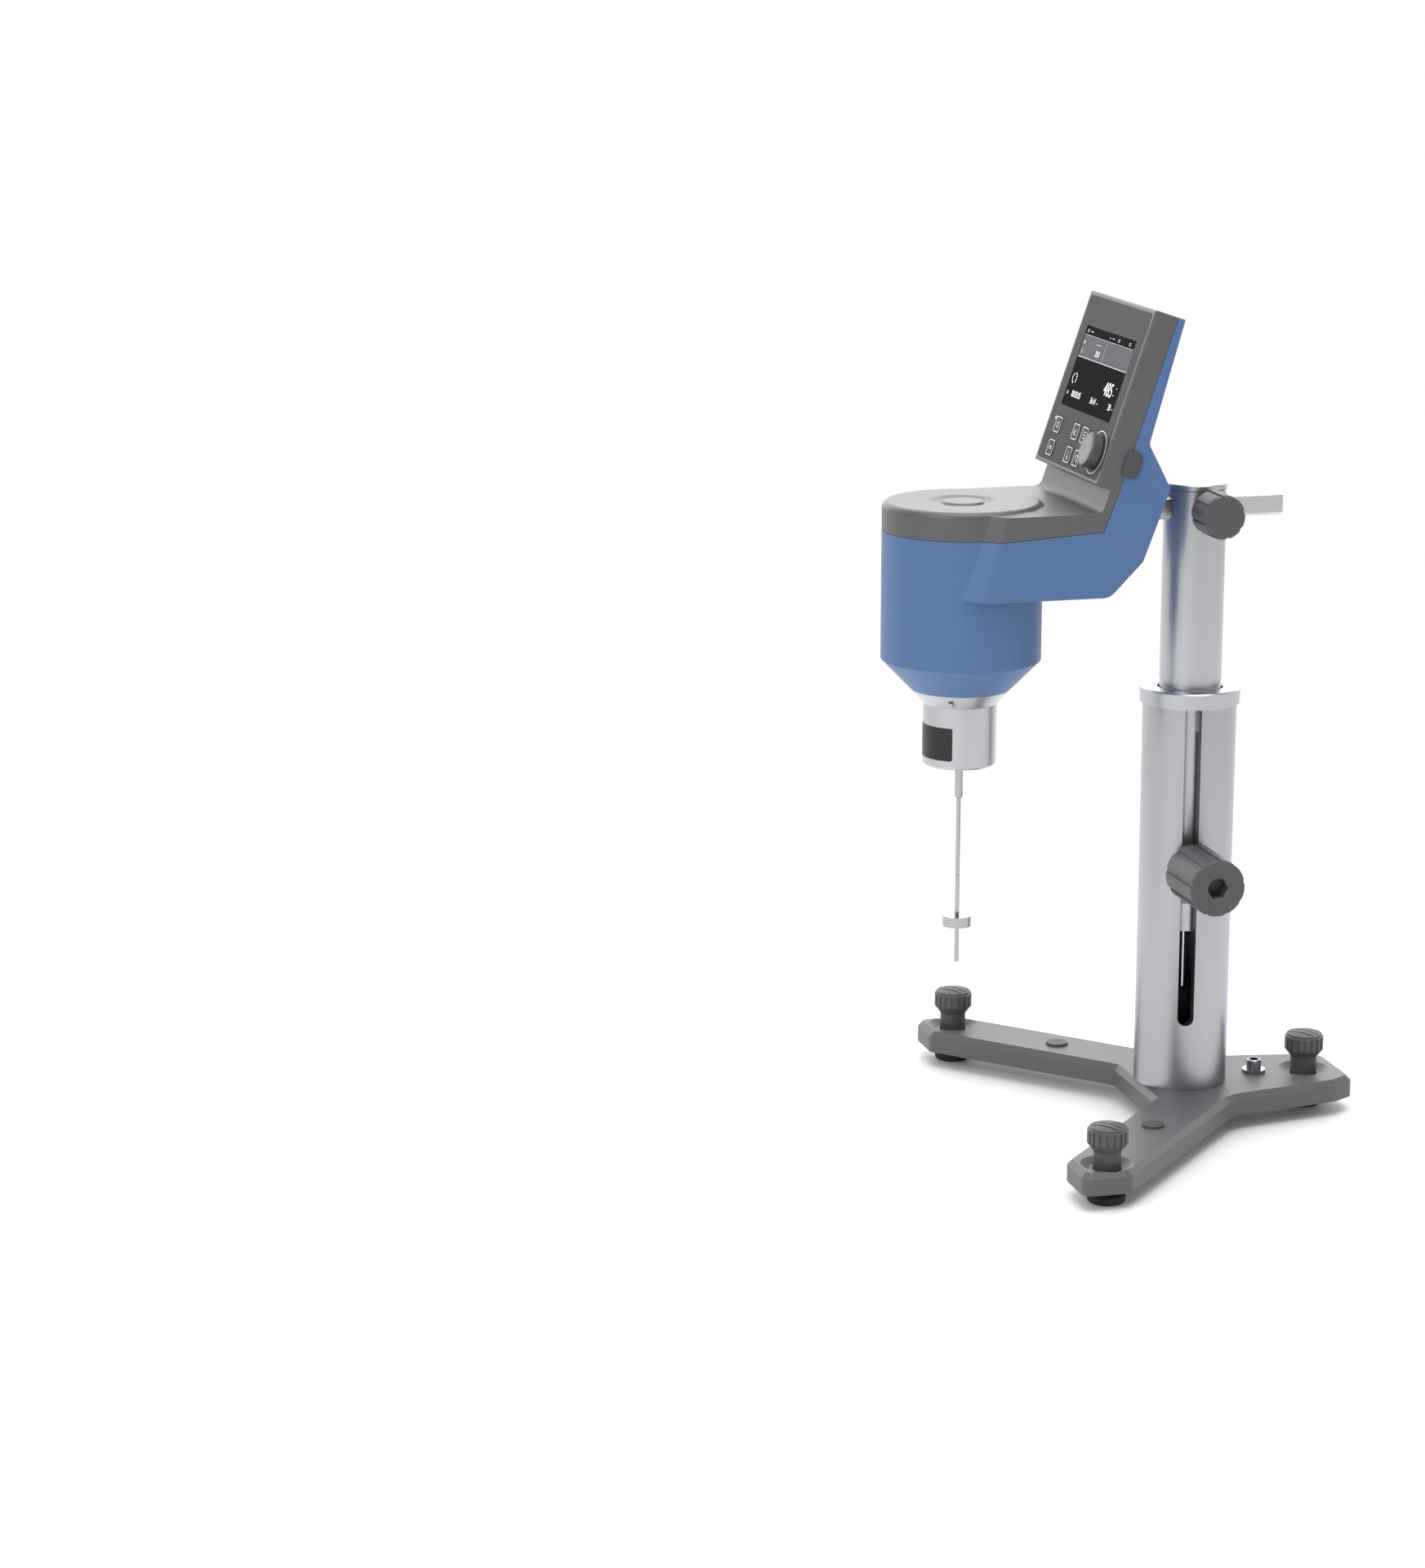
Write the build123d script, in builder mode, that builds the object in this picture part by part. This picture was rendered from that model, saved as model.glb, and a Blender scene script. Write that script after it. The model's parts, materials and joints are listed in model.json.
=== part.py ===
from build123d import *
from math import cos, radians, sin, sqrt, tan
import os

# A bench rotational viscometer: a measuring head on a telescopic column over a three-legged base.
# Millimetres, +Z up, the operator stands at -Y. The origin is on the table, under the middle of
# the instrument's box. Heights named *_z are above the table.

os.makedirs("parts", exist_ok=True)

# Base plate and its levelling feet
plate_top = 24.0
plate_thickness = 14.0
plate_edge_chamfer = 3.5
front_foot_x = 154.2
front_foot_reach = 106.0
rear_foot_reach = 87.0
leg_tip = 18.3
front_leg_tip = 21.0
rear_leg_tip = 25.0
leg_width = 45.0
leg_angle = 42.7
notch_half_width = 36.0
notch_reach = 32.0
rear_leg_root = 46.0
rear_leg_end = 33.0
leg_root_radius = 24.0
front_tip_radius = 7.0
rear_tip_radius = 8.0
pad_diameter = 23.8
pad_height = 5.7
pad_floor = 2.0
pad_edge = 1.2
foot_knob_diameter = 25.2
foot_knob_rise = 25.7
foot_knob_cap = 3.5
foot_knurl_height = 8.5
foot_knurl_depth = 0.6
foot_knurl_width = 1.6
foot_grooves = 3
foot_groove_pitch = 5.0
foot_groove_width = 1.2
foot_groove_depth = 1.6
foot_groove_turn = 40.0
foot_neck_diameter = 17.2
foot_neck_rise = 8.5
foot_neck_clearance = 0.4
foot_thread = 10.0
foot_travel = 3.0
foot_dish_diameter = 33.0
foot_dish_depth = 3.0
bush_reach = 52.0
bush_flange_diameter = 15.5
bush_diameter = 9.5
bush_bore = 6.4
bush_rise = 8.7
bush_flange = 2.2
bush_edge = 0.6
plug_diameter = 15.2
plug_rise = 1.5
plug_lip = 2.0
plug_depth = 4.0
plug_x = 91.5
plug_reach = 52.6

# Telescopic column
outer_tube_diameter = 60.0
outer_tube_wall = 6.0
outer_tube_top = 276.5
collar_diameter = 64.0
collar_height = 10.2
collar_bore = 42.0
collar_edge = 0.8
inner_tube_diameter = 39.6
inner_tube_wall = 3.3
cap_thickness = 4.0
cap_edge = 0.6
slot_width = 10.0
slot_bottom = 67.9
slot_offset = 8.0
column_travel = 95.0
guide_clearance = 0.15
slide_clearance = 0.2
bush_sleeve = 15.5
guide_ring_height = 16.0
foot_plug_height = 9.0
column_screw_circle = 30.0
column_screw = 6.0
gas_rod_diameter = 8.0
gas_cylinder_diameter = 24.0
gas_cylinder_wall = 2.0
gas_end_wall = 3.0
gas_piston = 6.0
gas_end_gap = 1.0
bumper_diameter = 16.0
bumper_top = 86.9
bumper_edge = 2.0

# Height clamp on the column's right side
clamp_z = 172.0
clamp_foot = 43.4
clamp_knob_diameter = 37.0
clamp_knob_length = 46.0
clamp_knob_face = 78.4
clamp_flutes = 9
clamp_flute_depth = 1.1
clamp_flute_width = 3.2
clamp_stud = 8.0
clamp_stud_cover = 14.0
clamp_hex = 12.0
clamp_hex_depth = 10.0
clamp_nut_height = 14.0
saddle_margin = 4.0
saddle_gap = 0.3

# Support rod with its clamp knob
rod_size = 14.6
rod_bevel = 1.75
rod_end_edge = 0.8
rod_end_rest = 3.2
rod_front = 74.0
rod_floor = 8.7
rod_mount_side = 9.7
rod_mount_wall = 5.0
rod_travel_in = 14.0
rod_travel_out = 34.0
rod_knob_diameter = 28.0
rod_knob_length = 23.0
rod_knob_face = 51.0
rod_knob_neck = 16.0
rod_knob_gap = 0.5
rod_flutes = 8
rod_flute_depth = 1.0
rod_flute_width = 2.6

# Measuring head. Its heights follow from the support rod's: the arm's top first, then the rest.
column_head = 15.3
arm_over_rod = 7.0
arm_height = 53.0
barrel_over_arm = 2.2
barrel_height = 99.7
cone_height = 19.5
hub_cone_height = 9.3
hub_height = 39.5
barrel_offset = 154.5
barrel_radius = 50.5
barrel_edge = 4.0
cap_foot_radius = 1.5
cap_dish = 44.0
cap_dish_slope = 5.0
cap_disc = 25.0
cap_disc_slope = 1.5
cap_dish_depth = 1.2
shell_bottom_radius = 31.5
hub_radius = 23.25
hub_edge = 1.5
facet_start = 147.4
facet_turn = 38.4
facet_rise = 10.1
facet_radius = 8.0
seam_drop_front = 15.4
seam_drop_rear = 11.2
seam_gap = 0.3
wall = 3.0
side_edge = 1.5
panel_tilt = 18.7
panel_foot_reach = 87.7
panel_foot_rise = 17.6
panel_depth = 20.8
waist_depth = 24.8
waist_up = 34.0
tip_gap = 4.8
tip_rise = 13.8
heel_reach = 55.6
heel_rise = 21.7
sole_reach = 77.0
neck_reach = 83.4
back_radius = 5.0
sole_radius = 10.0
neck_radius = 6.0
lip_depth = 9.6
seam_depth = 15.5
seam_corner = 9.0
rim = 2.7
pocket_corner = 3.0
panel_thickness = 2.5
panel_gap = 0.15
ledge = 2.5
ledge_width = 2.0
boss_diameter = 9.0
boss_sink = 0.8
boss_front = 37.1
boss_pitch = 21.6
boss_screw = 3.0
boss_screw_clearance = 0.3
screw_head = 2.4
screw_well = 8.0
hub_spigot = 26.8
hub_spigot_rise = 12.0
hub_nut_width = 3.0
hub_nut_height = 5.0
guard_pin_diameter = 3.7
guard_pin_rise = 3.0
guard_pin_reach = 5.5
guard_pin_angle = 30.4

# Display, keys and turning knob, placed on the panel: across from its middle, up from its foot
screen_width = 88.5
screen_height = 52.2
screen_side = 14.25
screen_foot = 38.8
screen_head = 21.8
glass_recess = 0.3
glass_thickness = 1.4
module_side = 4.0
module_end = 2.5
module_thickness = 5.0
key_size = 10.5
key_corner = 1.4
key_left = -36.9
key_middle = -3.8
key_right = 12.3
key_low = 11.0
key_high = 26.1
key_rise = 0.4
key_clearance = 0.25
key_lip = 0.7
key_lip_gap = 0.2
key_lip_height = 0.9
key_travel = 0.8
dome_diameter = 5.0
menu_knob_diameter = 22.0
menu_knob_height = 6.6
menu_knob_floor = 2.0
menu_knob_edge = 0.8
menu_knob_clearance = 0.3
menu_push = 0.5
menu_x = 40.0
menu_v = 19.0
encoder_size = 13.0
encoder_gap = 0.2
encoder_shaft_diameter = 6.0
switch_board_depth = 6.0
switch_board_foot = 6.2
switch_board_gap = 3.5
board_thickness = 1.6
board_peg = 4.0
main_board_depth = 12.0
main_board_margin = 9.0
stand_diameter = 6.4
stand_margin = 3.0
stand_end = 14.0
chip_size = 14.0
chip_height = 1.5
chip_pitch = 32.0
led_x = -45.0
led_v = 29.5
led_diameter = 2.2

# Power inlet in the back, and the flap over the port in the right-hand side
inlet_x = -30.0
inlet_share = 0.4
inlet_diameter = 11.0
inlet_flange = 2.0
inlet_flange_height = 1.2
inlet_depth = 9.0
inlet_bore = 5.6
inlet_pin = 2.0
port_up = 18.8
port_depth = 17.3
port_length = 16.5
port_width = 9.6
port_rise = 2.2
port_corner = 2.5
port_edge = 0.8

# Motor, torsion spring and measuring shaft, one above the other in the barrel
motor_plate_drop = 50.2
motor_plate_thickness = 3.0
motor_plate_gap = 1.0
motor_post_circle = 88.0
motor_post = 9.0
motor_size = 42.0
motor_corner = 4.0
motor_height = 34.0
motor_pilot = 22.0
motor_shaft_diameter = 5.0
disc_diameter = 44.0
disc_thickness = 2.0
disc_boss_rise = 3.0
disc_slots = 12
disc_slot_length = 8.0
disc_slot_width = 2.0
drive_disc_drop = 9.0
spring_drop = 12.0
sensing_disc_drop = 13.0
spring_height = 3.0
spring_strip = 0.7
spring_turns = 3
spring_inner = 4.6
spring_pitch = 3.2
spring_pin = 1.2
shaft_diameter = 3.0
shaft_gap = 1.0
shaft_clearance = 0.05
bearing_diameter = 11.0
bearing_width = 4.0
bearing_recess = 2.0
bearing_lip = 1.5
coupling_diameter = 5.2
coupling_length = 22.5
coupling_edge = 0.8
spindle_grip = 10.0
spindle_diameter = 3.0
spindle_length = 107.7
bob_diameter = 18.7
bob_height = 6.9
bob_rise = 24.0
mark_rise = 26.0
mark_depth = 0.3
mark_width = 1.0

# The column's axis, set back so that the origin is under the middle of the instrument
column_y = (barrel_offset + barrel_radius - rear_foot_reach - rear_leg_tip) / 2
barrel_y = column_y - barrel_offset
outer_radius = outer_tube_diameter / 2
outer_bore = outer_radius - outer_tube_wall
inner_radius = inner_tube_diameter / 2
inner_bore = inner_radius - inner_tube_wall
plate_bottom = plate_top - plate_thickness
slot_y = column_y - slot_offset
inner_tube_bottom = clamp_z - clamp_foot

# The square rod still reaches through the column when the head is furthest out, and the head's back
# stays clear of the column when it is furthest in
rod_rear = inner_radius + rod_travel_out + rod_end_rest
tip_reach = inner_radius + rod_travel_in + tip_gap

# Heights in the column: the gas spring's stroke sets how high the support rod lies
cylinder_bottom = bumper_top + column_travel + gas_end_gap
piston_z = cylinder_bottom + gas_end_wall + column_travel + gas_end_gap
cylinder_top = piston_z + gas_piston + column_travel + gas_end_gap + gas_end_wall
rod_z = cylinder_top + rod_floor + rod_size / 2
column_top = rod_z + column_head
cap_bottom = column_top - cap_thickness

# Heights in the head
arm_top = rod_z + arm_over_rod
arm_bottom = arm_top - arm_height
barrel_top = arm_top + barrel_over_arm
cone_top = barrel_top - barrel_height
shell_bottom = cone_top - cone_height
hub_crease = shell_bottom - hub_cone_height
hub_bottom = hub_crease - hub_height
seam_front = arm_top - seam_drop_front
seam_rear = arm_top - seam_drop_rear
panel_foot_z = arm_top + panel_foot_rise
tip_z = arm_top + tip_rise
heel_z = arm_bottom + heel_rise
motor_plate_z = barrel_top - motor_plate_drop
drive_disc_z = motor_plate_z - drive_disc_drop
spring_z = drive_disc_z - spring_drop
sensing_disc_z = spring_z - sensing_disc_drop
coupling_bottom = hub_bottom - coupling_length
spindle_bottom = coupling_bottom - spindle_length
bob_z = spindle_bottom + bob_rise

# The head's width and the panel's length follow from the screen and the margins round it
arm_half_width = screen_width / 2 + screen_side
panel_length = screen_foot + screen_height + screen_head
screen_middle = screen_foot + screen_height / 2
menu_knob_gap = menu_push + menu_knob_clearance

foot_places = {
    "front_right": (front_foot_x, column_y - front_foot_reach),
    "front_left": (-front_foot_x, column_y - front_foot_reach),
    "rear": (0.0, column_y + rear_foot_reach),
}

# Base plate: two splayed front legs and a tapered rear leg, a foot at the end of each
leg_slope = tan(radians(leg_angle))
inner_corner = (notch_half_width, column_y - notch_reach)
tip_front = column_y - front_foot_reach - front_leg_tip
tip_side = front_foot_x + leg_tip
inner_tip = (inner_corner[0] + (inner_corner[1] - tip_front) / leg_slope, tip_front)
outer_shift = leg_width / cos(radians(leg_angle))
outer_tip = (tip_side, inner_corner[1] + outer_shift - (tip_side - inner_corner[0]) * leg_slope)
waist_y = inner_corner[1] + outer_shift - (rear_leg_root - inner_corner[0]) * leg_slope
rear_end = column_y + rear_foot_reach + rear_leg_tip
rear_side = (rear_leg_end, column_y + rear_foot_reach + leg_tip / 2)
rear_corner = (rear_leg_end - leg_tip / 2, rear_end)

with BuildPart() as base_plate:
    with BuildSketch(Plane.XY.offset(plate_bottom)) as plate_outline:
        with BuildLine():
            half = Polyline(
                (0, inner_corner[1]),
                inner_corner,
                inner_tip,
                (tip_side, tip_front),
                outer_tip,
                (rear_leg_root, waist_y),
                rear_side,
                rear_corner,
                (0, rear_end),
            )
            mirror(half, about=Plane.YZ)
        make_face()
        corners = plate_outline.vertices().filter_by(lambda v: abs(v.X) > 1)
        fillet(corners.filter_by(lambda v: abs(abs(v.X) - rear_leg_root) < 1), radius=leg_root_radius)
        tips = plate_outline.vertices().filter_by(lambda v: abs(v.X) > inner_tip[0] - 1)
        fillet(tips, radius=front_tip_radius)
        ends = plate_outline.vertices().filter_by(lambda v: v.Y > rear_side[1] - 1 and abs(v.X) > 1)
        fillet(ends, radius=rear_tip_radius)
    extrude(amount=plate_thickness)
    chamfer(base_plate.faces().sort_by(Axis.Z)[-1].outer_wire().edges(), length=plate_edge_chamfer)
    # A dish and a countersunk thread for each foot
    for foot_x, foot_y in foot_places.values():
        with BuildSketch(Plane.XY.offset(plate_top)):
            with Locations((foot_x, foot_y)):
                Circle(foot_dish_diameter / 2)
        extrude(amount=-foot_dish_depth, taper=60, mode=Mode.SUBTRACT)
        with Locations((foot_x, foot_y, plate_top)):
            Hole(foot_neck_diameter / 2 + foot_neck_clearance, depth=2 * foot_travel + pad_floor)
            Hole(foot_thread / 2 + shaft_clearance, depth=plate_thickness)
    # Seats for the accessory bush and the two leg plugs, and the column's screws from below
    with Locations((0, column_y + bush_reach, plate_top)):
        Hole(bush_diameter / 2, depth=plate_thickness)
    with Locations(*[(side * plug_x, column_y - plug_reach, plate_top) for side in (1, -1)]):
        Hole(plug_diameter / 2 - plug_lip, depth=plug_depth + 1)
    with BuildSketch(Plane.XY.offset(plate_bottom)):
        with Locations((0, column_y)):
            with PolarLocations(column_screw_circle / 2, 3, start_angle=90):
                Circle(column_screw / 2 + slide_clearance)
    extrude(amount=plate_thickness, mode=Mode.SUBTRACT)
    with BuildSketch(Plane.XY.offset(plate_bottom)):
        with Locations((0, column_y)):
            with PolarLocations(column_screw_circle / 2, 3, start_angle=90):
                Circle(column_screw)
    extrude(amount=column_screw, mode=Mode.SUBTRACT)
base_plate.part.label = "base_plate"
export_step(base_plate.part, "parts/base_plate.step")

with BuildPart() as leg_plugs:
    for side in (1, -1):
        with BuildSketch(Plane.XY.offset(plate_top)):
            with Locations((side * plug_x, column_y - plug_reach)):
                Circle(plug_diameter / 2)
        extrude(amount=plug_rise, taper=20)
        with BuildSketch(Plane.XY.offset(plate_top)):
            with Locations((side * plug_x, column_y - plug_reach)):
                Circle(plug_diameter / 2 - plug_lip)
        extrude(amount=-plug_depth)
leg_plugs.part.label = "leg_plugs"
export_step(leg_plugs.part, "parts/leg_plugs.step")

with BuildPart() as accessory_bush:
    with BuildSketch(Plane(origin=(0, column_y + bush_reach, 0), x_dir=(1, 0, 0), z_dir=(0, -1, 0))):
        with BuildLine():
            Polyline(
                (bush_bore / 2, plate_bottom),
                (bush_diameter / 2, plate_bottom),
                (bush_diameter / 2, plate_top),
                (bush_flange_diameter / 2, plate_top),
                (bush_flange_diameter / 2, plate_top + bush_flange),
                (bush_diameter / 2, plate_top + bush_flange),
                (bush_diameter / 2, plate_top + bush_rise - bush_edge),
                (bush_diameter / 2 - bush_edge, plate_top + bush_rise),
                (bush_bore / 2, plate_top + bush_rise),
                close=True,
            )
        make_face()
    revolve(axis=Axis((0, column_y + bush_reach, 0), (0, 0, 1)))
accessory_bush.part.label = "accessory_bush"
export_step(accessory_bush.part, "parts/accessory_bush.step")

# Levelling feet: a knurled screw through the leg, standing in a loose pad
for place, (foot_x, foot_y) in foot_places.items():
    foot_axis = Axis((foot_x, foot_y, 0), (0, 0, 1))
    foot_plane = Plane(origin=(foot_x, foot_y, 0), x_dir=(1, 0, 0), z_dir=(0, -1, 0))
    pad_radius = pad_diameter / 2
    socket = foot_thread / 2 + shaft_clearance
    with BuildPart() as foot_pad:
        with BuildSketch(foot_plane):
            with BuildLine():
                Polyline(
                    (0, 0),
                    (pad_radius - pad_edge, 0),
                    (pad_radius, pad_edge),
                    (pad_radius, pad_height - pad_edge),
                    (pad_radius - pad_edge, pad_height),
                    (socket, pad_height),
                    (socket, pad_floor),
                    (0, pad_floor),
                    close=True,
                )
            make_face()
        revolve(axis=foot_axis)
    foot_pad.part.label = f"foot_pad_{place}"
    export_step(foot_pad.part, f"parts/foot_pad_{place}.step")

    knob_radius = foot_knob_diameter / 2
    stem_radius = foot_neck_diameter / 2
    knob_top = plate_top + foot_knob_rise
    knurl_high = knob_top - foot_knob_cap
    knurl_low = knurl_high - foot_knurl_height
    cap_radius = knob_radius - 2 * foot_knurl_depth
    with BuildPart() as foot_screw:
        with BuildSketch(foot_plane):
            with BuildLine():
                dome_foot = (cap_radius, knob_top - foot_knob_cap / 2)
                Polyline(
                    (0, knob_top),
                    (0, pad_floor),
                    (foot_thread / 2, pad_floor),
                    (foot_thread / 2, plate_top - foot_travel),
                    (stem_radius, plate_top - foot_travel),
                    (stem_radius, plate_top + foot_neck_rise),
                    (knob_radius, knurl_low),
                    (knob_radius, knurl_high),
                    (cap_radius, knurl_high + foot_knurl_depth),
                    dome_foot,
                )
                TangentArc((0, knob_top), dome_foot, tangent=(1, 0))
            make_face()
        revolve(axis=foot_axis)
        # Knurling: a ring of shallow grooves
        with BuildSketch(Plane.XY.offset(knurl_low)):
            with Locations((foot_x, foot_y)):
                with PolarLocations(knob_radius, 18):
                    Rectangle(2 * foot_knurl_depth, foot_knurl_width)
        extrude(amount=foot_knurl_height, mode=Mode.SUBTRACT)
        # Grip grooves across the top
        with BuildSketch(Plane.XY.offset(knob_top)):
            with Locations(Location((foot_x, foot_y, 0), (0, 0, foot_groove_turn))):
                with GridLocations(0, foot_groove_pitch, 1, foot_grooves):
                    Rectangle(2 * knob_radius, foot_groove_width)
        extrude(amount=-foot_groove_depth, mode=Mode.SUBTRACT)
    foot_screw.part.label = f"foot_screw_{place}"
    export_step(foot_screw.part, f"parts/foot_screw_{place}.step")

# Column: the outer tube stands on the plate round a plug, which the screws pull down
with BuildPart() as column_foot:
    with BuildSketch(Plane.XY.offset(plate_top)):
        with Locations((0, column_y)):
            Circle(outer_bore)
            Circle(gas_rod_diameter / 2, mode=Mode.SUBTRACT)
            with PolarLocations(column_screw_circle / 2, 3, start_angle=90):
                Circle(column_screw / 2, mode=Mode.SUBTRACT)
    extrude(amount=foot_plug_height)
column_foot.part.label = "column_foot"
export_step(column_foot.part, "parts/column_foot.step")

with BuildPart() as column_screws:
    with BuildSketch(Plane.XY.offset(plate_bottom + slide_clearance)):
        with Locations((0, column_y)):
            with PolarLocations(column_screw_circle / 2, 3, start_angle=90):
                Circle(column_screw - slide_clearance)
    extrude(amount=column_screw - slide_clearance)
    with BuildSketch(Plane.XY.offset(plate_bottom + column_screw)):
        with Locations((0, column_y)):
            with PolarLocations(column_screw_circle / 2, 3, start_angle=90):
                Circle(column_screw / 2)
    extrude(amount=plate_thickness - column_screw + foot_plug_height - gas_end_gap)
    with BuildSketch(Plane.XY.offset(plate_bottom + slide_clearance)):
        with Locations((0, column_y)):
            with PolarLocations(column_screw_circle / 2, 3, start_angle=90):
                RegularPolygon(column_screw / 2, 6)
    extrude(amount=column_screw / 2, mode=Mode.SUBTRACT)
column_screws.part.label = "column_screws"
export_step(column_screws.part, "parts/column_screws.step")

slot_plane = Plane(origin=(0, slot_y, 0), x_dir=(0, 1, 0), z_dir=(1, 0, 0))

with BuildPart() as outer_column:
    with BuildSketch(Plane.XY.offset(plate_top)):
        with Locations((0, column_y)):
            Circle(outer_radius)
            Circle(outer_bore, mode=Mode.SUBTRACT)
    extrude(amount=outer_tube_top - plate_top)
    with BuildSketch(slot_plane):
        slot_height = outer_tube_top - slot_bottom + slot_width
        with Locations((0, slot_bottom + slot_height / 2)):
            SlotOverall(slot_height, slot_width, rotation=90)
    extrude(amount=outer_radius, mode=Mode.SUBTRACT)
outer_column.part.label = "outer_column"
export_step(outer_column.part, "parts/outer_column.step")

with BuildPart() as column_collar:
    with BuildSketch(Plane.XY.offset(outer_tube_top)):
        with Locations((0, column_y)):
            Circle(collar_diameter / 2)
            Circle(collar_bore / 2, mode=Mode.SUBTRACT)
    extrude(amount=collar_height)
    chamfer(column_collar.edges().filter_by(GeomType.CIRCLE).group_by(Axis.Z)[-1], length=collar_edge)
column_collar.part.label = "column_collar"
export_step(column_collar.part, "parts/column_collar.step")

with BuildPart() as guide_bush:
    with BuildSketch(Plane.XY.offset(outer_tube_top - bush_sleeve)):
        with Locations((0, column_y)):
            Circle(outer_bore)
            Circle(inner_radius + guide_clearance, mode=Mode.SUBTRACT)
    extrude(amount=bush_sleeve)
    with BuildSketch(slot_plane):
        with Locations((0, outer_tube_top)):
            Rectangle(slot_width, 3 * bush_sleeve)
    extrude(amount=outer_radius, mode=Mode.SUBTRACT)
guide_bush.part.label = "guide_bush"
export_step(guide_bush.part, "parts/guide_bush.step")

# Gas spring: the rod stands on the base, the cylinder rides up and down inside the inner tube
gas_bore = gas_cylinder_diameter / 2 - gas_cylinder_wall

with BuildPart() as gas_spring_rod:
    with BuildSketch(Plane.XY.offset(plate_top)):
        with Locations((0, column_y)):
            Circle(gas_rod_diameter / 2)
    extrude(amount=piston_z - plate_top)
    with BuildSketch(Plane.XY.offset(piston_z)):
        with Locations((0, column_y)):
            Circle(gas_bore - slide_clearance)
    extrude(amount=gas_piston)
gas_spring_rod.part.label = "gas_spring_rod"
export_step(gas_spring_rod.part, "parts/gas_spring_rod.step")

with BuildPart() as rod_bumper:
    with BuildSketch(Plane.XY.offset(plate_top + foot_plug_height)):
        with Locations((0, column_y)):
            Circle(bumper_diameter / 2)
            Circle(gas_rod_diameter / 2, mode=Mode.SUBTRACT)
    extrude(amount=bumper_top - plate_top - foot_plug_height)
    top_edges = rod_bumper.edges().filter_by(GeomType.CIRCLE).group_by(Axis.Z)[-1]
    chamfer(top_edges.sort_by(SortBy.RADIUS)[-1], length=bumper_edge)
rod_bumper.part.label = "rod_bumper"
export_step(rod_bumper.part, "parts/rod_bumper.step")

with BuildPart() as gas_spring_cylinder:
    with BuildSketch(Plane.XY.offset(cylinder_bottom)):
        with Locations((0, column_y)):
            Circle(gas_cylinder_diameter / 2)
    extrude(amount=cylinder_top - cylinder_bottom)
    with BuildSketch(Plane.XY.offset(cylinder_bottom + gas_end_wall)):
        with Locations((0, column_y)):
            Circle(gas_bore)
    extrude(amount=cylinder_top - cylinder_bottom - 2 * gas_end_wall, mode=Mode.SUBTRACT)
    with BuildSketch(Plane.XY.offset(cylinder_bottom)):
        with Locations((0, column_y)):
            Circle(gas_rod_diameter / 2 + slide_clearance / 2)
    extrude(amount=gas_end_wall, mode=Mode.SUBTRACT)
gas_spring_cylinder.part.label = "gas_spring_cylinder"
export_step(gas_spring_cylinder.part, "parts/gas_spring_cylinder.step")

# Inner tube with its windows for the support rod and holes for the two clamp studs
rod_window = rod_size + 2 * slide_clearance
stud_hole = clamp_stud / 2 + shaft_clearance

with BuildPart() as inner_column:
    with BuildSketch(Plane.XY.offset(inner_tube_bottom)):
        with Locations((0, column_y)):
            Circle(inner_radius)
            Circle(inner_bore, mode=Mode.SUBTRACT)
    extrude(amount=cap_bottom - inner_tube_bottom)
    with BuildSketch(Plane(origin=(0, column_y, rod_z), x_dir=(1, 0, 0), z_dir=(0, -1, 0))) as window:
        Rectangle(rod_window, rod_window)
        chamfer(window.vertices(), length=rod_bevel)
    extrude(amount=inner_tube_diameter, both=True, mode=Mode.SUBTRACT)
    with BuildSketch(Plane(origin=(0, column_y, rod_z), x_dir=(0, 1, 0), z_dir=(1, 0, 0))):
        Circle(stud_hole)
    extrude(amount=inner_tube_diameter, mode=Mode.SUBTRACT)
    with BuildSketch(slot_plane):
        with Locations((0, clamp_z)):
            Circle(stud_hole)
    extrude(amount=inner_tube_diameter, mode=Mode.SUBTRACT)
inner_column.part.label = "inner_column"
export_step(inner_column.part, "parts/inner_column.step")

with BuildPart() as column_cap:
    with BuildSketch(Plane.XY.offset(cap_bottom)):
        with Locations((0, column_y)):
            Circle(inner_radius)
    extrude(amount=cap_thickness)
    chamfer(column_cap.edges().filter_by(GeomType.CIRCLE), length=cap_edge)
column_cap.part.label = "column_cap"
export_step(column_cap.part, "parts/column_cap.step")

with BuildPart() as guide_ring:
    ring_top = clamp_z - clamp_stud
    with BuildSketch(Plane.XY.offset(ring_top - guide_ring_height)):
        with Locations((0, column_y)):
            Circle(outer_bore - guide_clearance)
            Circle(inner_radius, mode=Mode.SUBTRACT)
    extrude(amount=guide_ring_height)
guide_ring.part.label = "guide_ring"
export_step(guide_ring.part, "parts/guide_ring.step")

with BuildPart() as rod_holder:
    with BuildSketch(Plane.XY.offset(cylinder_top)):
        with Locations((0, column_y)):
            Circle(inner_bore)
    extrude(amount=cap_bottom - cylinder_top)
    with BuildSketch(Plane(origin=(0, column_y, rod_z), x_dir=(1, 0, 0), z_dir=(0, -1, 0))) as passage:
        Rectangle(rod_window, rod_window)
        chamfer(passage.vertices(), length=rod_bevel)
    extrude(amount=inner_tube_diameter, both=True, mode=Mode.SUBTRACT)
    with BuildSketch(Plane(origin=(0, column_y, rod_z), x_dir=(0, 1, 0), z_dir=(1, 0, 0))):
        Circle(stud_hole)
    extrude(amount=inner_tube_diameter, mode=Mode.SUBTRACT)
rod_holder.part.label = "rod_holder"
export_step(rod_holder.part, "parts/rod_holder.step")

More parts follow.
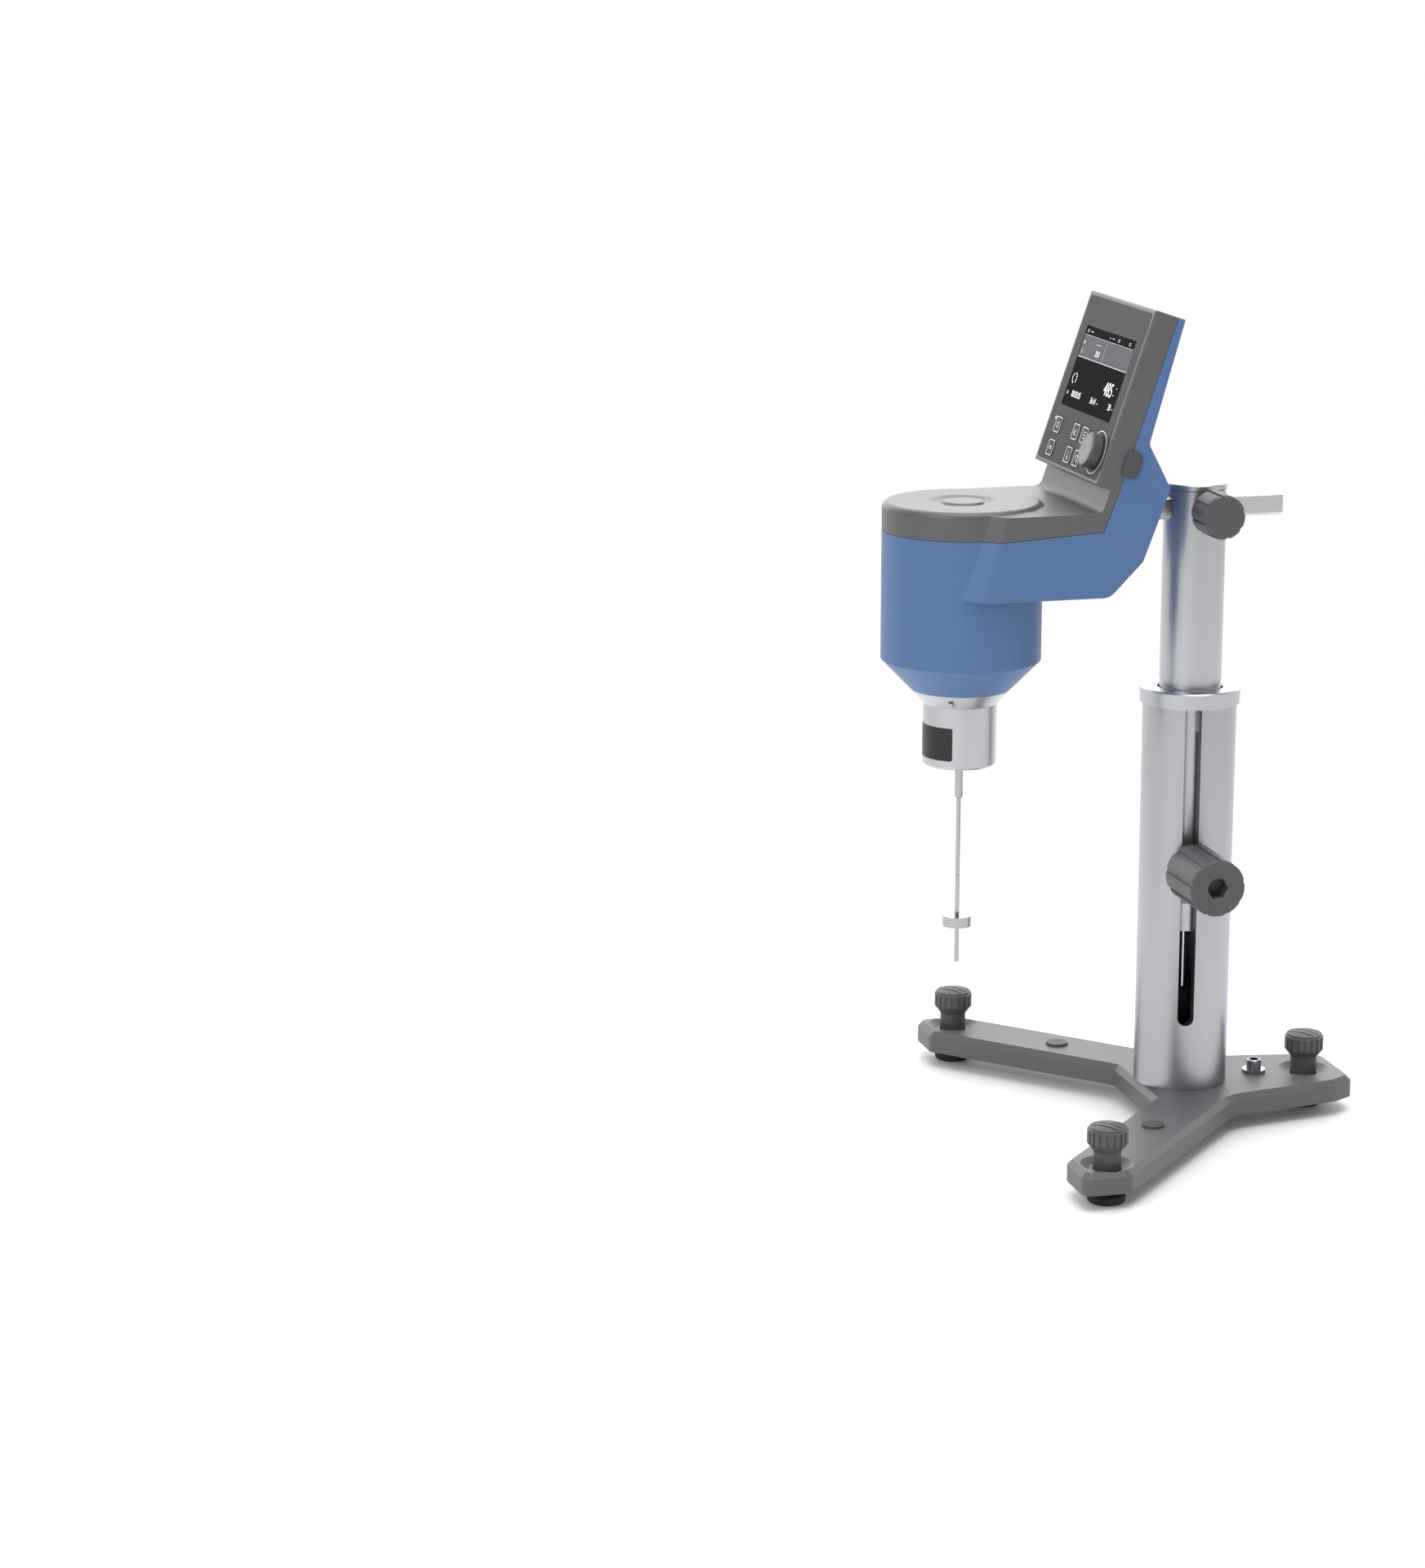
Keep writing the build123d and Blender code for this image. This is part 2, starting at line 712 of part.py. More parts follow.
# Height clamp: a nut inside the inner tube, a saddle in the slot, and the knob's stud through both
nut_inner = bumper_diameter / 2 + 2 * slide_clearance
with BuildPart() as clamp_nut:
    with BuildSketch(Plane.XY.offset(clamp_z - clamp_nut_height / 2)):
        with Locations((0, column_y)):
            Circle(inner_bore)
        with Locations((nut_inner, column_y)):
            Rectangle(4 * inner_bore, 4 * inner_bore, align=(Align.MAX, Align.CENTER), mode=Mode.SUBTRACT)
        with Locations((inner_bore, slot_y + clamp_nut_height / 2)):
            Rectangle(4 * inner_bore, 2 * inner_bore, align=(Align.CENTER, Align.MIN), mode=Mode.SUBTRACT)
    extrude(amount=clamp_nut_height)
    with BuildSketch(slot_plane):
        with Locations((0, clamp_z)):
            Circle(stud_hole)
    extrude(amount=inner_tube_diameter, mode=Mode.SUBTRACT)
clamp_nut.part.label = "clamp_nut"
export_step(clamp_nut.part, "parts/clamp_nut.step")

clamp_knob_rear = clamp_knob_face - clamp_knob_length
saddle_face = clamp_knob_rear - saddle_gap
with BuildPart() as clamp_saddle:
    # The pad that bears on the outer tube
    with BuildSketch(Plane(origin=(0, slot_y, clamp_z), x_dir=(0, 1, 0), z_dir=(1, 0, 0))):
        Rectangle(slot_width + 2 * saddle_margin, slot_width + 2 * saddle_margin)
    extrude(amount=saddle_face)
    with BuildSketch(Plane.XY.offset(clamp_z - slot_width * 2)):
        with Locations((0, column_y)):
            Circle(outer_radius + saddle_gap)
    extrude(amount=4 * slot_width, mode=Mode.SUBTRACT)
    # The key that runs in the slot, down to the inner tube
    with BuildSketch(Plane(origin=(0, slot_y, clamp_z), x_dir=(0, 1, 0), z_dir=(1, 0, 0))):
        SlotOverall(1.2 * slot_width, slot_width - 2 * slide_clearance, rotation=90)
    extrude(amount=saddle_face)
    with BuildSketch(Plane.XY.offset(clamp_z - slot_width * 2)):
        with Locations((0, column_y)):
            Circle(inner_radius)
    extrude(amount=4 * slot_width, mode=Mode.SUBTRACT)
    with BuildSketch(slot_plane):
        with Locations((0, clamp_z)):
            Circle(stud_hole)
    extrude(amount=2 * outer_radius, mode=Mode.SUBTRACT)
clamp_saddle.part.label = "clamp_saddle"
export_step(clamp_saddle.part, "parts/clamp_saddle.step")

knob_plane = Plane(origin=(clamp_knob_rear, slot_y, clamp_z), x_dir=(0, 1, 0), z_dir=(1, 0, 0))
with BuildPart() as height_clamp_knob:
    with BuildSketch(Plane(origin=(clamp_knob_rear, slot_y, clamp_z), x_dir=(1, 0, 0), z_dir=(0, -1, 0))):
        with BuildLine():
            Polyline(
                (0, 0),
                (0, clamp_knob_diameter / 2 - 2 * clamp_flute_depth),
                (2 * clamp_flute_depth, clamp_knob_diameter / 2),
                (clamp_knob_length - clamp_flute_depth, clamp_knob_diameter / 2 - saddle_gap),
                (clamp_knob_length, clamp_knob_diameter / 2 - saddle_gap - clamp_flute_depth),
                (clamp_knob_length, 0),
                close=True,
            )
        make_face()
    revolve(axis=Axis((0, slot_y, clamp_z), (1, 0, 0)))
    with BuildSketch(knob_plane):
        with PolarLocations(clamp_knob_diameter / 2, clamp_flutes, start_angle=10):
            Rectangle(2 * clamp_flute_depth, clamp_flute_width)
    extrude(amount=clamp_knob_length, mode=Mode.SUBTRACT)
    # Hexagon recess in the face, and the stud's bore
    with BuildSketch(knob_plane.offset(clamp_knob_length)):
        RegularPolygon(clamp_hex / 2, 6, major_radius=False)
    extrude(amount=-clamp_hex_depth, mode=Mode.SUBTRACT)
    with BuildSketch(knob_plane.offset(clamp_knob_length)):
        Circle(clamp_hex / 2 + clamp_flute_depth)
    extrude(amount=-clamp_flute_depth, taper=45, mode=Mode.SUBTRACT)
    with BuildSketch(knob_plane):
        Circle(clamp_stud / 2)
    extrude(amount=clamp_knob_length - clamp_stud_cover, mode=Mode.SUBTRACT)
height_clamp_knob.part.label = "height_clamp_knob"
export_step(height_clamp_knob.part, "parts/height_clamp_knob.step")

with BuildPart() as height_clamp_stud:
    stud_tip = nut_inner + gas_end_gap
    with BuildSketch(Plane(origin=(stud_tip, slot_y, clamp_z), x_dir=(0, 1, 0), z_dir=(1, 0, 0))):
        Circle(clamp_stud / 2)
    extrude(amount=clamp_knob_face - clamp_stud_cover - stud_tip)
height_clamp_stud.part.label = "height_clamp_stud"
export_step(height_clamp_stud.part, "parts/height_clamp_stud.step")

# Rod clamp knob: a hub reaches in to the tube, a stud bears on the rod
rod_knob_rear = rod_knob_face - rod_knob_length
rod_neck_end = inner_radius + rod_knob_gap
rod_knob_plane = Plane(origin=(rod_knob_rear, column_y, rod_z), x_dir=(0, 1, 0), z_dir=(1, 0, 0))
with BuildPart() as rod_clamp_knob:
    with BuildSketch(Plane(origin=(rod_knob_rear, column_y, rod_z), x_dir=(1, 0, 0), z_dir=(0, -1, 0))):
        with BuildLine():
            Polyline(
                (0, 0),
                (0, rod_knob_diameter / 2 - 2 * rod_flute_depth),
                (2 * rod_flute_depth, rod_knob_diameter / 2),
                (rod_knob_length - rod_flute_depth, rod_knob_diameter / 2),
                (rod_knob_length, rod_knob_diameter / 2 - rod_flute_depth),
                (rod_knob_length, 0),
                close=True,
            )
        make_face()
    revolve(axis=Axis((0, column_y, rod_z), (1, 0, 0)))
    with BuildSketch(rod_knob_plane):
        with PolarLocations(rod_knob_diameter / 2, rod_flutes, start_angle=12):
            Rectangle(2 * rod_flute_depth, rod_flute_width)
    extrude(amount=rod_knob_length, mode=Mode.SUBTRACT)
    with BuildSketch(Plane(origin=(rod_neck_end, column_y, rod_z), x_dir=(0, 1, 0), z_dir=(1, 0, 0))):
        Circle(rod_knob_neck / 2)
    extrude(amount=rod_knob_rear - rod_neck_end)
    with BuildSketch(Plane(origin=(inner_radius, column_y, rod_z), x_dir=(0, 1, 0), z_dir=(1, 0, 0))):
        Circle(clamp_stud / 2)
    extrude(amount=rod_knob_length, mode=Mode.SUBTRACT)
rod_clamp_knob.part.label = "rod_clamp_knob"
export_step(rod_clamp_knob.part, "parts/rod_clamp_knob.step")

rod_stud_tip = rod_size / 2 + saddle_gap
with BuildPart() as rod_clamp_stud:
    with BuildSketch(Plane(origin=(rod_stud_tip, column_y, rod_z), x_dir=(0, 1, 0), z_dir=(1, 0, 0))):
        Circle(clamp_stud / 2)
    extrude(amount=inner_radius + rod_knob_length - rod_stud_tip)
rod_clamp_stud.part.label = "rod_clamp_stud"
export_step(rod_clamp_stud.part, "parts/rod_clamp_stud.step")

with BuildPart() as support_rod:
    with BuildSketch(Plane(origin=(0, column_y + rod_rear, rod_z), x_dir=(1, 0, 0), z_dir=(0, -1, 0))) as bar:
        Rectangle(rod_size, rod_size)
        chamfer(bar.vertices(), length=rod_bevel)
    extrude(amount=rod_rear + rod_front)
    chamfer(support_rod.faces().sort_by(Axis.Y)[-1].edges(), length=rod_end_edge)
support_rod.part.label = "support_rod"
export_step(support_rod.part, "parts/support_rod.step")

# Head: a side view of the arm and display, drawn in the plane across its middle
tilt = radians(panel_tilt)
panel_foot = (column_y - panel_foot_reach, panel_foot_z)
panel_plane = Plane(origin=(0, *panel_foot), x_dir=(1, 0, 0), z_dir=(0, -cos(tilt), sin(tilt)))
barrel_plane = Plane(origin=(0, barrel_y, 0), x_dir=(1, 0, 0), z_dir=(0, -1, 0))
barrel_axis = Axis((0, barrel_y, 0), (0, 0, 1))


def behind_panel(up, depth):
    """Side-view point at a distance up the panel and a depth behind its face."""
    return (
        panel_foot[0] + up * sin(tilt) + depth * cos(tilt),
        panel_foot[1] + up * cos(tilt) - depth * sin(tilt),
    )


def head_form(inset):
    """The outside of the two shells, or the hollow in them at an inset from that outside."""
    with BuildPart() as form:
        with BuildSketch(Plane.YZ) as side:
            with BuildLine():
                Polyline(
                    behind_panel(0, 0),
                    behind_panel(panel_length, 0),
                    behind_panel(panel_length, panel_depth),
                    behind_panel(waist_up, waist_depth),
                    (column_y - tip_reach, tip_z),
                    (column_y - heel_reach, heel_z),
                    (column_y - sole_reach, arm_bottom),
                    (barrel_y - barrel_radius / 2.5, arm_bottom),
                    (barrel_y - barrel_radius / 2.5, arm_top),
                    (column_y - neck_reach, arm_top),
                    behind_panel(0, lip_depth),
                    close=True,
                )
            make_face()
            back = side.vertices().filter_by(lambda v: v.X > column_y - heel_reach - wall)
            fillet(back.filter_by(lambda v: v.Y < panel_foot_z + panel_length / 2), radius=back_radius)
            sole = side.vertices().filter_by(lambda v: abs(v.X - column_y + sole_reach) < seam_gap)
            fillet(sole, radius=sole_radius)
            neck = side.vertices().filter_by(lambda v: abs(v.X - column_y + neck_reach) < seam_gap)
            fillet(neck, radius=neck_radius)
            if inset:
                offset(amount=-inset)
        extrude(amount=arm_half_width - inset, both=True)
        # Slanted facets carry the arm's sides into the round barrel
        for hand in (1, -1):
            normal = Vector(
                hand * cos(radians(facet_turn)) * cos(radians(facet_rise)),
                -sin(radians(facet_turn)) * cos(radians(facet_rise)),
                sin(radians(facet_rise)),
            )
            edge = Vector(hand * arm_half_width, column_y - facet_start, seam_front)
            split(bisect_by=Plane(origin=edge - normal * inset, z_dir=normal), keep=Keep.BOTTOM)
        with BuildSketch(barrel_plane) as barrel:
            with BuildLine():
                Polyline(
                    (-barrel_radius, shell_bottom),
                    (shell_bottom_radius, shell_bottom),
                    (barrel_radius, cone_top),
                    (barrel_radius, barrel_top),
                    (-barrel_radius, barrel_top),
                    close=True,
                )
            make_face()
            fillet(barrel.vertices().sort_by(Axis.Y)[-2:].sort_by(Axis.X)[-1], radius=barrel_edge)
            if inset:
                offset(amount=-inset)
            with Locations((0, shell_bottom)):
                left_half = (Align.MAX, Align.CENTER)
                Rectangle(4 * barrel_radius, 8 * barrel_radius, align=left_half, mode=Mode.SUBTRACT)
        revolve(axis=barrel_axis)
    return form.part


def above_seam(raise_by):
    """The block over the seam between the shells: along the arm, then up behind the panel."""
    with BuildPart() as block:
        with BuildSketch(Plane.YZ) as region:
            with BuildLine():
                Polyline(
                    (barrel_y - 2 * barrel_radius, seam_front + raise_by),
                    (column_y - facet_start, seam_front + raise_by),
                    (behind_panel(0, seam_depth)[0] - seam_corner - raise_by, seam_rear + raise_by),
                    behind_panel(seam_corner, seam_depth - raise_by),
                    behind_panel(2 * panel_length, seam_depth - raise_by),
                    (barrel_y - 2 * barrel_radius, panel_foot_z + 2 * panel_length),
                    close=True,
                )
            make_face()
        extrude(amount=2 * arm_half_width, both=True)
    return block.part


hollow = head_form(wall)


# Side edges that are rounded: all but those of the arm's flat top
def is_rounded(edge):
    middle = edge.center()
    in_front = middle.Y < column_y - heel_reach
    between = heel_z + wall < middle.Z < panel_foot_z
    return not (in_front and between)


# The outside with its edges rounded: the step round the cap, the facets' corners, the display's
# frame, and both sides all round
with BuildPart() as rounded:
    add(head_form(0))
    step = rounded.edges().filter_by(GeomType.CIRCLE).filter_by(
        lambda e: abs((e @ 0).Z - arm_top) < seam_gap and abs((e @ 1).Z - arm_top) < seam_gap
    )
    fillet(step, radius=cap_foot_radius)
    sides = rounded.faces().filter_by(Axis.X).edges()
    front = sides.filter_by(lambda e: e.center().Y < barrel_y + barrel_radius / 2)
    fillet(front.filter_by(lambda e: abs((e @ 1).Z - (e @ 0).Z) > wall), radius=facet_radius)
    sides = rounded.faces().filter_by(Axis.X).sort_by(SortBy.AREA)[-2:].edges()
    frame_middle = Vector(0, *behind_panel(panel_length / 2, 0))
    frame = rounded.faces().sort_by_distance(frame_middle)[0].edges().filter_by(Axis.X)
    fillet(sides.filter_by(is_rounded) + frame, radius=side_edge)
outside = rounded.part

# Screw bosses beside the arm's walls join the shells; the screws come from below
boss_x = arm_half_width - wall - boss_diameter / 2 + boss_sink
boss_y = barrel_y + boss_front
boss_places = [(side * boss_x, y) for side in (1, -1) for y in (boss_y, boss_y + boss_pitch)]
screw_seat = arm_bottom + screw_well

# Upper cover: the barrel's cap, the neck and the display's frame
panel_middle = panel_length / 2
pocket_width = 2 * (arm_half_width - rim)
pocket_height = panel_length - 2 * rim
stand_x = arm_half_width - wall - stand_margin
stand_rows = (stand_end, panel_length - stand_end)

with BuildPart() as upper_cover:
    add(outside)
    add(hollow, mode=Mode.SUBTRACT)
    with BuildSketch(Plane.XY.offset(arm_bottom)):
        with Locations(*boss_places):
            Circle(boss_diameter / 2)
    extrude(amount=arm_top - wall / 2 - arm_bottom)
    add(above_seam(0), mode=Mode.INTERSECT)
    with BuildSketch(Plane.XY.offset(arm_bottom)):
        with Locations(*boss_places):
            Circle(boss_screw / 2)
    extrude(amount=arm_top - 2 * wall - arm_bottom, mode=Mode.SUBTRACT)
    # The frame round the control panel, with a ledge behind it and posts for the main board
    with BuildSketch(panel_plane.offset(-panel_thickness)):
        with Locations((0, panel_middle)):
            Rectangle(2 * arm_half_width - wall, panel_length - wall)
    extrude(amount=-ledge)
    with BuildSketch(panel_plane):
        with Locations((0, panel_middle)):
            RectangleRounded(pocket_width, pocket_height, pocket_corner)
    extrude(amount=-panel_thickness, mode=Mode.SUBTRACT)
    with BuildSketch(panel_plane):
        with Locations((0, panel_middle)):
            Rectangle(pocket_width - 2 * ledge_width, pocket_height - 2 * ledge_width)
    extrude(amount=-panel_thickness - ledge, mode=Mode.SUBTRACT)
    with BuildSketch(panel_plane.offset(-panel_thickness - ledge / 2)):
        with Locations(*[(side * stand_x, row) for side in (1, -1) for row in stand_rows]):
            Circle(stand_diameter / 2)
    extrude(amount=-(main_board_depth - panel_thickness - ledge / 2))
    # A dished ring with a raised disc on top of the barrel
    with BuildSketch(barrel_plane):
        with BuildLine():
            Polyline(
                (cap_disc / 2, barrel_top),
                (cap_disc / 2 + cap_disc_slope, barrel_top - cap_dish_depth),
                (cap_dish / 2 - cap_dish_slope, barrel_top - cap_dish_depth),
                (cap_dish / 2, barrel_top),
                close=True,
            )
        make_face()
    revolve(axis=barrel_axis, mode=Mode.SUBTRACT)
upper_cover.part.label = "upper_cover"
export_step(upper_cover.part, "parts/upper_cover.step")

# Lower housing: barrel and cone, the arm's underside and the back of the display
back_low = behind_panel(waist_up, waist_depth)
back_high = behind_panel(panel_length, panel_depth)
back_lean = (back_high[0] - back_low[0], back_high[1] - back_low[1])
back_length = sqrt(back_lean[0] ** 2 + back_lean[1] ** 2)
back_normal = (0, back_lean[1] / back_length, -back_lean[0] / back_length)
inlet_plane = Plane(
    origin=(inlet_x, back_low[0] + inlet_share * back_lean[0], back_low[1] + inlet_share * back_lean[1]),
    x_dir=(1, 0, 0),
    z_dir=back_normal,
)
side_plane = Plane(origin=(arm_half_width, *panel_foot), x_dir=(0, cos(tilt), -sin(tilt)), z_dir=(1, 0, 0))

with BuildPart() as lower_housing:
    add(outside)
    add(hollow, mode=Mode.SUBTRACT)
    with BuildSketch(Plane.XY.offset(arm_bottom + wall / 2)):
        with Locations(*boss_places):
            Circle(boss_diameter / 2)
    extrude(amount=barrel_top - arm_bottom - 2 * wall)
    add(above_seam(-seam_gap), mode=Mode.SUBTRACT)
    with BuildSketch(Plane.XY.offset(arm_bottom)):
        with Locations(*boss_places):
            Circle(boss_screw / 2 + boss_screw_clearance)
    extrude(amount=barrel_top - arm_bottom, mode=Mode.SUBTRACT)
    with BuildSketch(Plane.XY.offset(arm_bottom)):
        with Locations(*boss_places):
            Circle(boss_screw + boss_screw_clearance)
    extrude(amount=screw_seat - arm_bottom, mode=Mode.SUBTRACT)
    # Posts that carry the motor plate
    with BuildSketch(Plane.XY.offset(cone_top + wall)):
        with Locations((0, barrel_y)):
            with PolarLocations(motor_post_circle / 2, 4, start_angle=45):
                Circle(motor_post / 2)
                Circle(boss_screw / 2, mode=Mode.SUBTRACT)
    extrude(amount=motor_plate_z - cone_top - wall)
    # The hub's seat, the support rod's way in, the power inlet
    with BuildSketch(Plane.XY.offset(shell_bottom)):
        with Locations((0, barrel_y)):
            Circle(hub_spigot)
    extrude(amount=2 * wall, mode=Mode.SUBTRACT)
    with BuildSketch(Plane(origin=(0, column_y, rod_z), x_dir=(1, 0, 0), z_dir=(0, -1, 0))) as rod_way:
        Rectangle(rod_size, rod_size)
        chamfer(rod_way.vertices(), length=rod_bevel)
    extrude(amount=rod_front, mode=Mode.SUBTRACT)
    with BuildSketch(inlet_plane):
        Circle(inlet_diameter / 2)
    extrude(amount=-2 * wall, mode=Mode.SUBTRACT)
lower_housing.part.label = "lower_housing"
export_step(lower_housing.part, "parts/lower_housing.step")

plate_face = motor_plate_z + motor_plate_thickness
with BuildPart() as head_screws:
    # Four from below join the shells
    with BuildSketch(Plane.XY.offset(screw_seat - screw_head)):
        with Locations(*boss_places):
            Circle(boss_screw)
            RegularPolygon(boss_screw / 2, 6, mode=Mode.SUBTRACT)
    extrude(amount=0.7 * screw_head)
    with BuildSketch(Plane.XY.offset(screw_seat - 0.3 * screw_head)):
        with Locations(*boss_places):
            Circle(boss_screw)
    extrude(amount=0.3 * screw_head)
    with BuildSketch(Plane.XY.offset(screw_seat)):
        with Locations(*boss_places):
            Circle(boss_screw / 2)
    extrude(amount=arm_top - 2 * wall - screw_seat - gas_end_gap)
    # Four from above hold the motor plate on its posts
    with BuildSketch(Plane.XY.offset(plate_face)):
        with Locations((0, barrel_y)):
            with PolarLocations(motor_post_circle / 2, 4, start_angle=45):
                Circle(boss_screw * 0.9)
    extrude(amount=screw_head)
    with BuildSketch(Plane.XY.offset(plate_face)):
        with Locations((0, barrel_y)):
            with PolarLocations(motor_post_circle / 2, 4, start_angle=45):
                Circle(boss_screw / 2)
    extrude(amount=-4 * boss_screw)
head_screws.part.label = "head_screws"
export_step(head_screws.part, "parts/head_screws.step")

with BuildPart() as power_inlet:
    with BuildSketch(inlet_plane):
        Circle(inlet_diameter / 2 + inlet_flange)
    extrude(amount=inlet_flange_height)
    with BuildSketch(inlet_plane):
        Circle(inlet_diameter / 2)
    extrude(amount=-inlet_depth)
    with BuildSketch(inlet_plane.offset(inlet_flange_height)):
        Circle(inlet_bore / 2)
        Circle(inlet_pin / 2, mode=Mode.SUBTRACT)
    extrude(amount=-inlet_depth, mode=Mode.SUBTRACT)
power_inlet.part.label = "power_inlet"
export_step(power_inlet.part, "parts/power_inlet.step")

# The block that holds the support rod's front end, seated on the housing's rear wall
with BuildPart() as rod_mount:
    with BuildSketch(Plane(origin=(0, column_y, rod_z), x_dir=(1, 0, 0), z_dir=(0, -1, 0))):
        Rectangle(rod_size + 2 * rod_mount_side, rod_size + 2 * rod_mount_wall)
    extrude(amount=rod_front)
    add(hollow, mode=Mode.INTERSECT)
    with BuildSketch(Plane(origin=(0, column_y, rod_z), x_dir=(1, 0, 0), z_dir=(0, -1, 0))) as rod_seat:
        Rectangle(rod_size, rod_size)
        chamfer(rod_seat.vertices(), length=rod_bevel)
    extrude(amount=rod_front, mode=Mode.SUBTRACT)
rod_mount.part.label = "rod_mount"
export_step(rod_mount.part, "parts/rod_mount.step")

# Control panel and what sits in it
panel_width = pocket_width - 2 * panel_gap
panel_height = pocket_height - 2 * panel_gap
key_window = key_size + 2 * key_clearance
key_places = {
    "upper_left": (key_left, key_high),
    "upper_middle": (key_middle, key_high),
    "upper_right": (key_right, key_high),
    "lower_left": (key_left, key_low),
    "lower_middle": (key_middle, key_low),
    "lower_right": (key_right, key_low),
}
knob_side_x = (key_right + menu_x) / 2
peg_places = [
    ((key_left + key_middle) / 2, (key_low + key_high) / 2),
    (knob_side_x, menu_v + encoder_size),
    (knob_side_x, menu_v - encoder_size + board_peg / 2),
]

with BuildPart() as control_panel:
    with BuildSketch(panel_plane):
        with Locations((0, panel_middle)):
            RectangleRounded(panel_width, panel_height, pocket_corner - panel_gap)
        with Locations((0, screen_middle)):
            Rectangle(screen_width + 2 * panel_gap, screen_height + 2 * panel_gap, mode=Mode.SUBTRACT)
        with Locations(*key_places.values()):
            RectangleRounded(key_window, key_window, key_corner + key_clearance, mode=Mode.SUBTRACT)
        with Locations((menu_x, menu_v)):
            Circle(encoder_shaft_diameter / 2 + menu_knob_gap, mode=Mode.SUBTRACT)
        with Locations((led_x, led_v)):
            Circle(led_diameter / 2, mode=Mode.SUBTRACT)
    extrude(amount=-panel_thickness)
    with BuildSketch(panel_plane.offset(-panel_thickness)):
        with Locations(*peg_places):
            Circle(board_peg / 2)
    extrude(amount=-(switch_board_depth - panel_thickness))
control_panel.part.label = "control_panel"
export_step(control_panel.part, "parts/control_panel.step")

with BuildPart() as display_glass:
    with BuildSketch(panel_plane.offset(-glass_recess)):
        with Locations((0, screen_middle)):
            Rectangle(screen_width, screen_height)
    extrude(amount=-glass_thickness)
display_glass.part.label = "display_glass"
export_step(display_glass.part, "parts/display_glass.step")

module_width = screen_width + 2 * module_side
with BuildPart() as display_module:
    with BuildSketch(panel_plane.offset(-glass_recess - glass_thickness)):
        with Locations((0, screen_middle)):
            Rectangle(screen_width, screen_height)
    extrude(amount=-(panel_thickness - glass_recess - glass_thickness))
    with BuildSketch(panel_plane.offset(-panel_thickness)):
        with Locations((0, screen_middle)):
            Rectangle(module_width, screen_height + 2 * module_end)
    extrude(amount=-module_thickness)
display_module.part.label = "display_module"
export_step(display_module.part, "parts/display_module.step")

with BuildPart() as status_led:
    with BuildSketch(panel_plane):
        with Locations((led_x, led_v)):
            Circle(led_diameter / 2)
    extrude(amount=-panel_thickness)
status_led.part.label = "status_led"
export_step(status_led.part, "parts/status_led.step")

key_low_face = panel_thickness + key_lip_gap + key_lip_height
dome_height = switch_board_depth - key_low_face - key_travel - shaft_clearance
with BuildPart() as switch_board:
    board_top = screen_foot - switch_board_gap
    with BuildSketch(panel_plane.offset(-switch_board_depth)):
        with Locations((0, (switch_board_foot + board_top) / 2)):
            Rectangle(module_width, board_top - switch_board_foot)
    extrude(amount=-board_thickness)
    # A dome switch under each key, and the encoder under the knob
    with BuildSketch(panel_plane.offset(-switch_board_depth)):
        with Locations(*key_places.values()):
            Circle(dome_diameter / 2)
    extrude(amount=dome_height)
    with BuildSketch(panel_plane.offset(-switch_board_depth)):
        with Locations((menu_x, menu_v)):
            Rectangle(encoder_size, encoder_size)
            Circle(encoder_shaft_diameter / 2 + shaft_clearance, mode=Mode.SUBTRACT)
    extrude(amount=switch_board_depth - panel_thickness - encoder_gap)
switch_board.part.label = "switch_board"
export_step(switch_board.part, "parts/switch_board.step")

with BuildPart() as main_board:
    with BuildSketch(panel_plane.offset(-main_board_depth)):
        with Locations((0, panel_middle)):
            Rectangle(2 * stand_x + board_peg, panel_length - 2 * main_board_margin)
    extrude(amount=-board_thickness)
    with BuildSketch(panel_plane.offset(-main_board_depth - board_thickness)):
        with Locations((0, panel_middle)):
            with GridLocations(chip_pitch, chip_pitch, 2, 2):
                Rectangle(chip_size, chip_size)
    extrude(amount=-chip_height)
main_board.part.label = "main_board"
export_step(main_board.part, "parts/main_board.step")

for key_name, key_place in key_places.items():
    with BuildPart() as key:
        with BuildSketch(panel_plane.offset(key_rise)):
            with Locations(key_place):
                RectangleRounded(key_size, key_size, key_corner)
        extrude(amount=-(panel_thickness + key_rise + key_lip_gap))
        with BuildSketch(panel_plane.offset(-panel_thickness - key_lip_gap)):
            with Locations(key_place):
                Rectangle(key_size + 2 * key_lip, key_size + 2 * key_lip)
        extrude(amount=-key_lip_height)
    key.part.label = f"key_{key_name}"
    export_step(key.part, f"parts/key_{key_name}.step")

# Turning knob on the encoder's shaft, which can also be pushed
knob_low = panel_plane.offset(menu_knob_gap)
with BuildPart() as menu_knob:
    with BuildSketch(knob_low):
        with Locations((menu_x, menu_v)):
            Circle(menu_knob_diameter / 2)
    extrude(amount=menu_knob_height)
    knob_face = menu_knob.faces().sort_by(Axis(panel_plane.origin, panel_plane.z_dir))[-1]
    chamfer(knob_face.edges(), length=menu_knob_edge)
    with BuildSketch(knob_low):
        with Locations((menu_x, menu_v)):
            Circle(encoder_shaft_diameter / 2 + shaft_clearance)
    extrude(amount=menu_knob_height - menu_knob_floor, mode=Mode.SUBTRACT)
menu_knob.part.label = "menu_knob"
export_step(menu_knob.part, "parts/menu_knob.step")

plunger_depth = switch_board_depth - menu_push - shaft_gap
with BuildPart() as encoder_shaft:
    with BuildSketch(panel_plane.offset(-plunger_depth)):
        with Locations((menu_x, menu_v)):
            Circle(encoder_shaft_diameter / 2)
    extrude(amount=plunger_depth + menu_knob_gap + menu_knob_height - menu_knob_floor)
encoder_shaft.part.label = "encoder_shaft"
export_step(encoder_shaft.part, "parts/encoder_shaft.step")

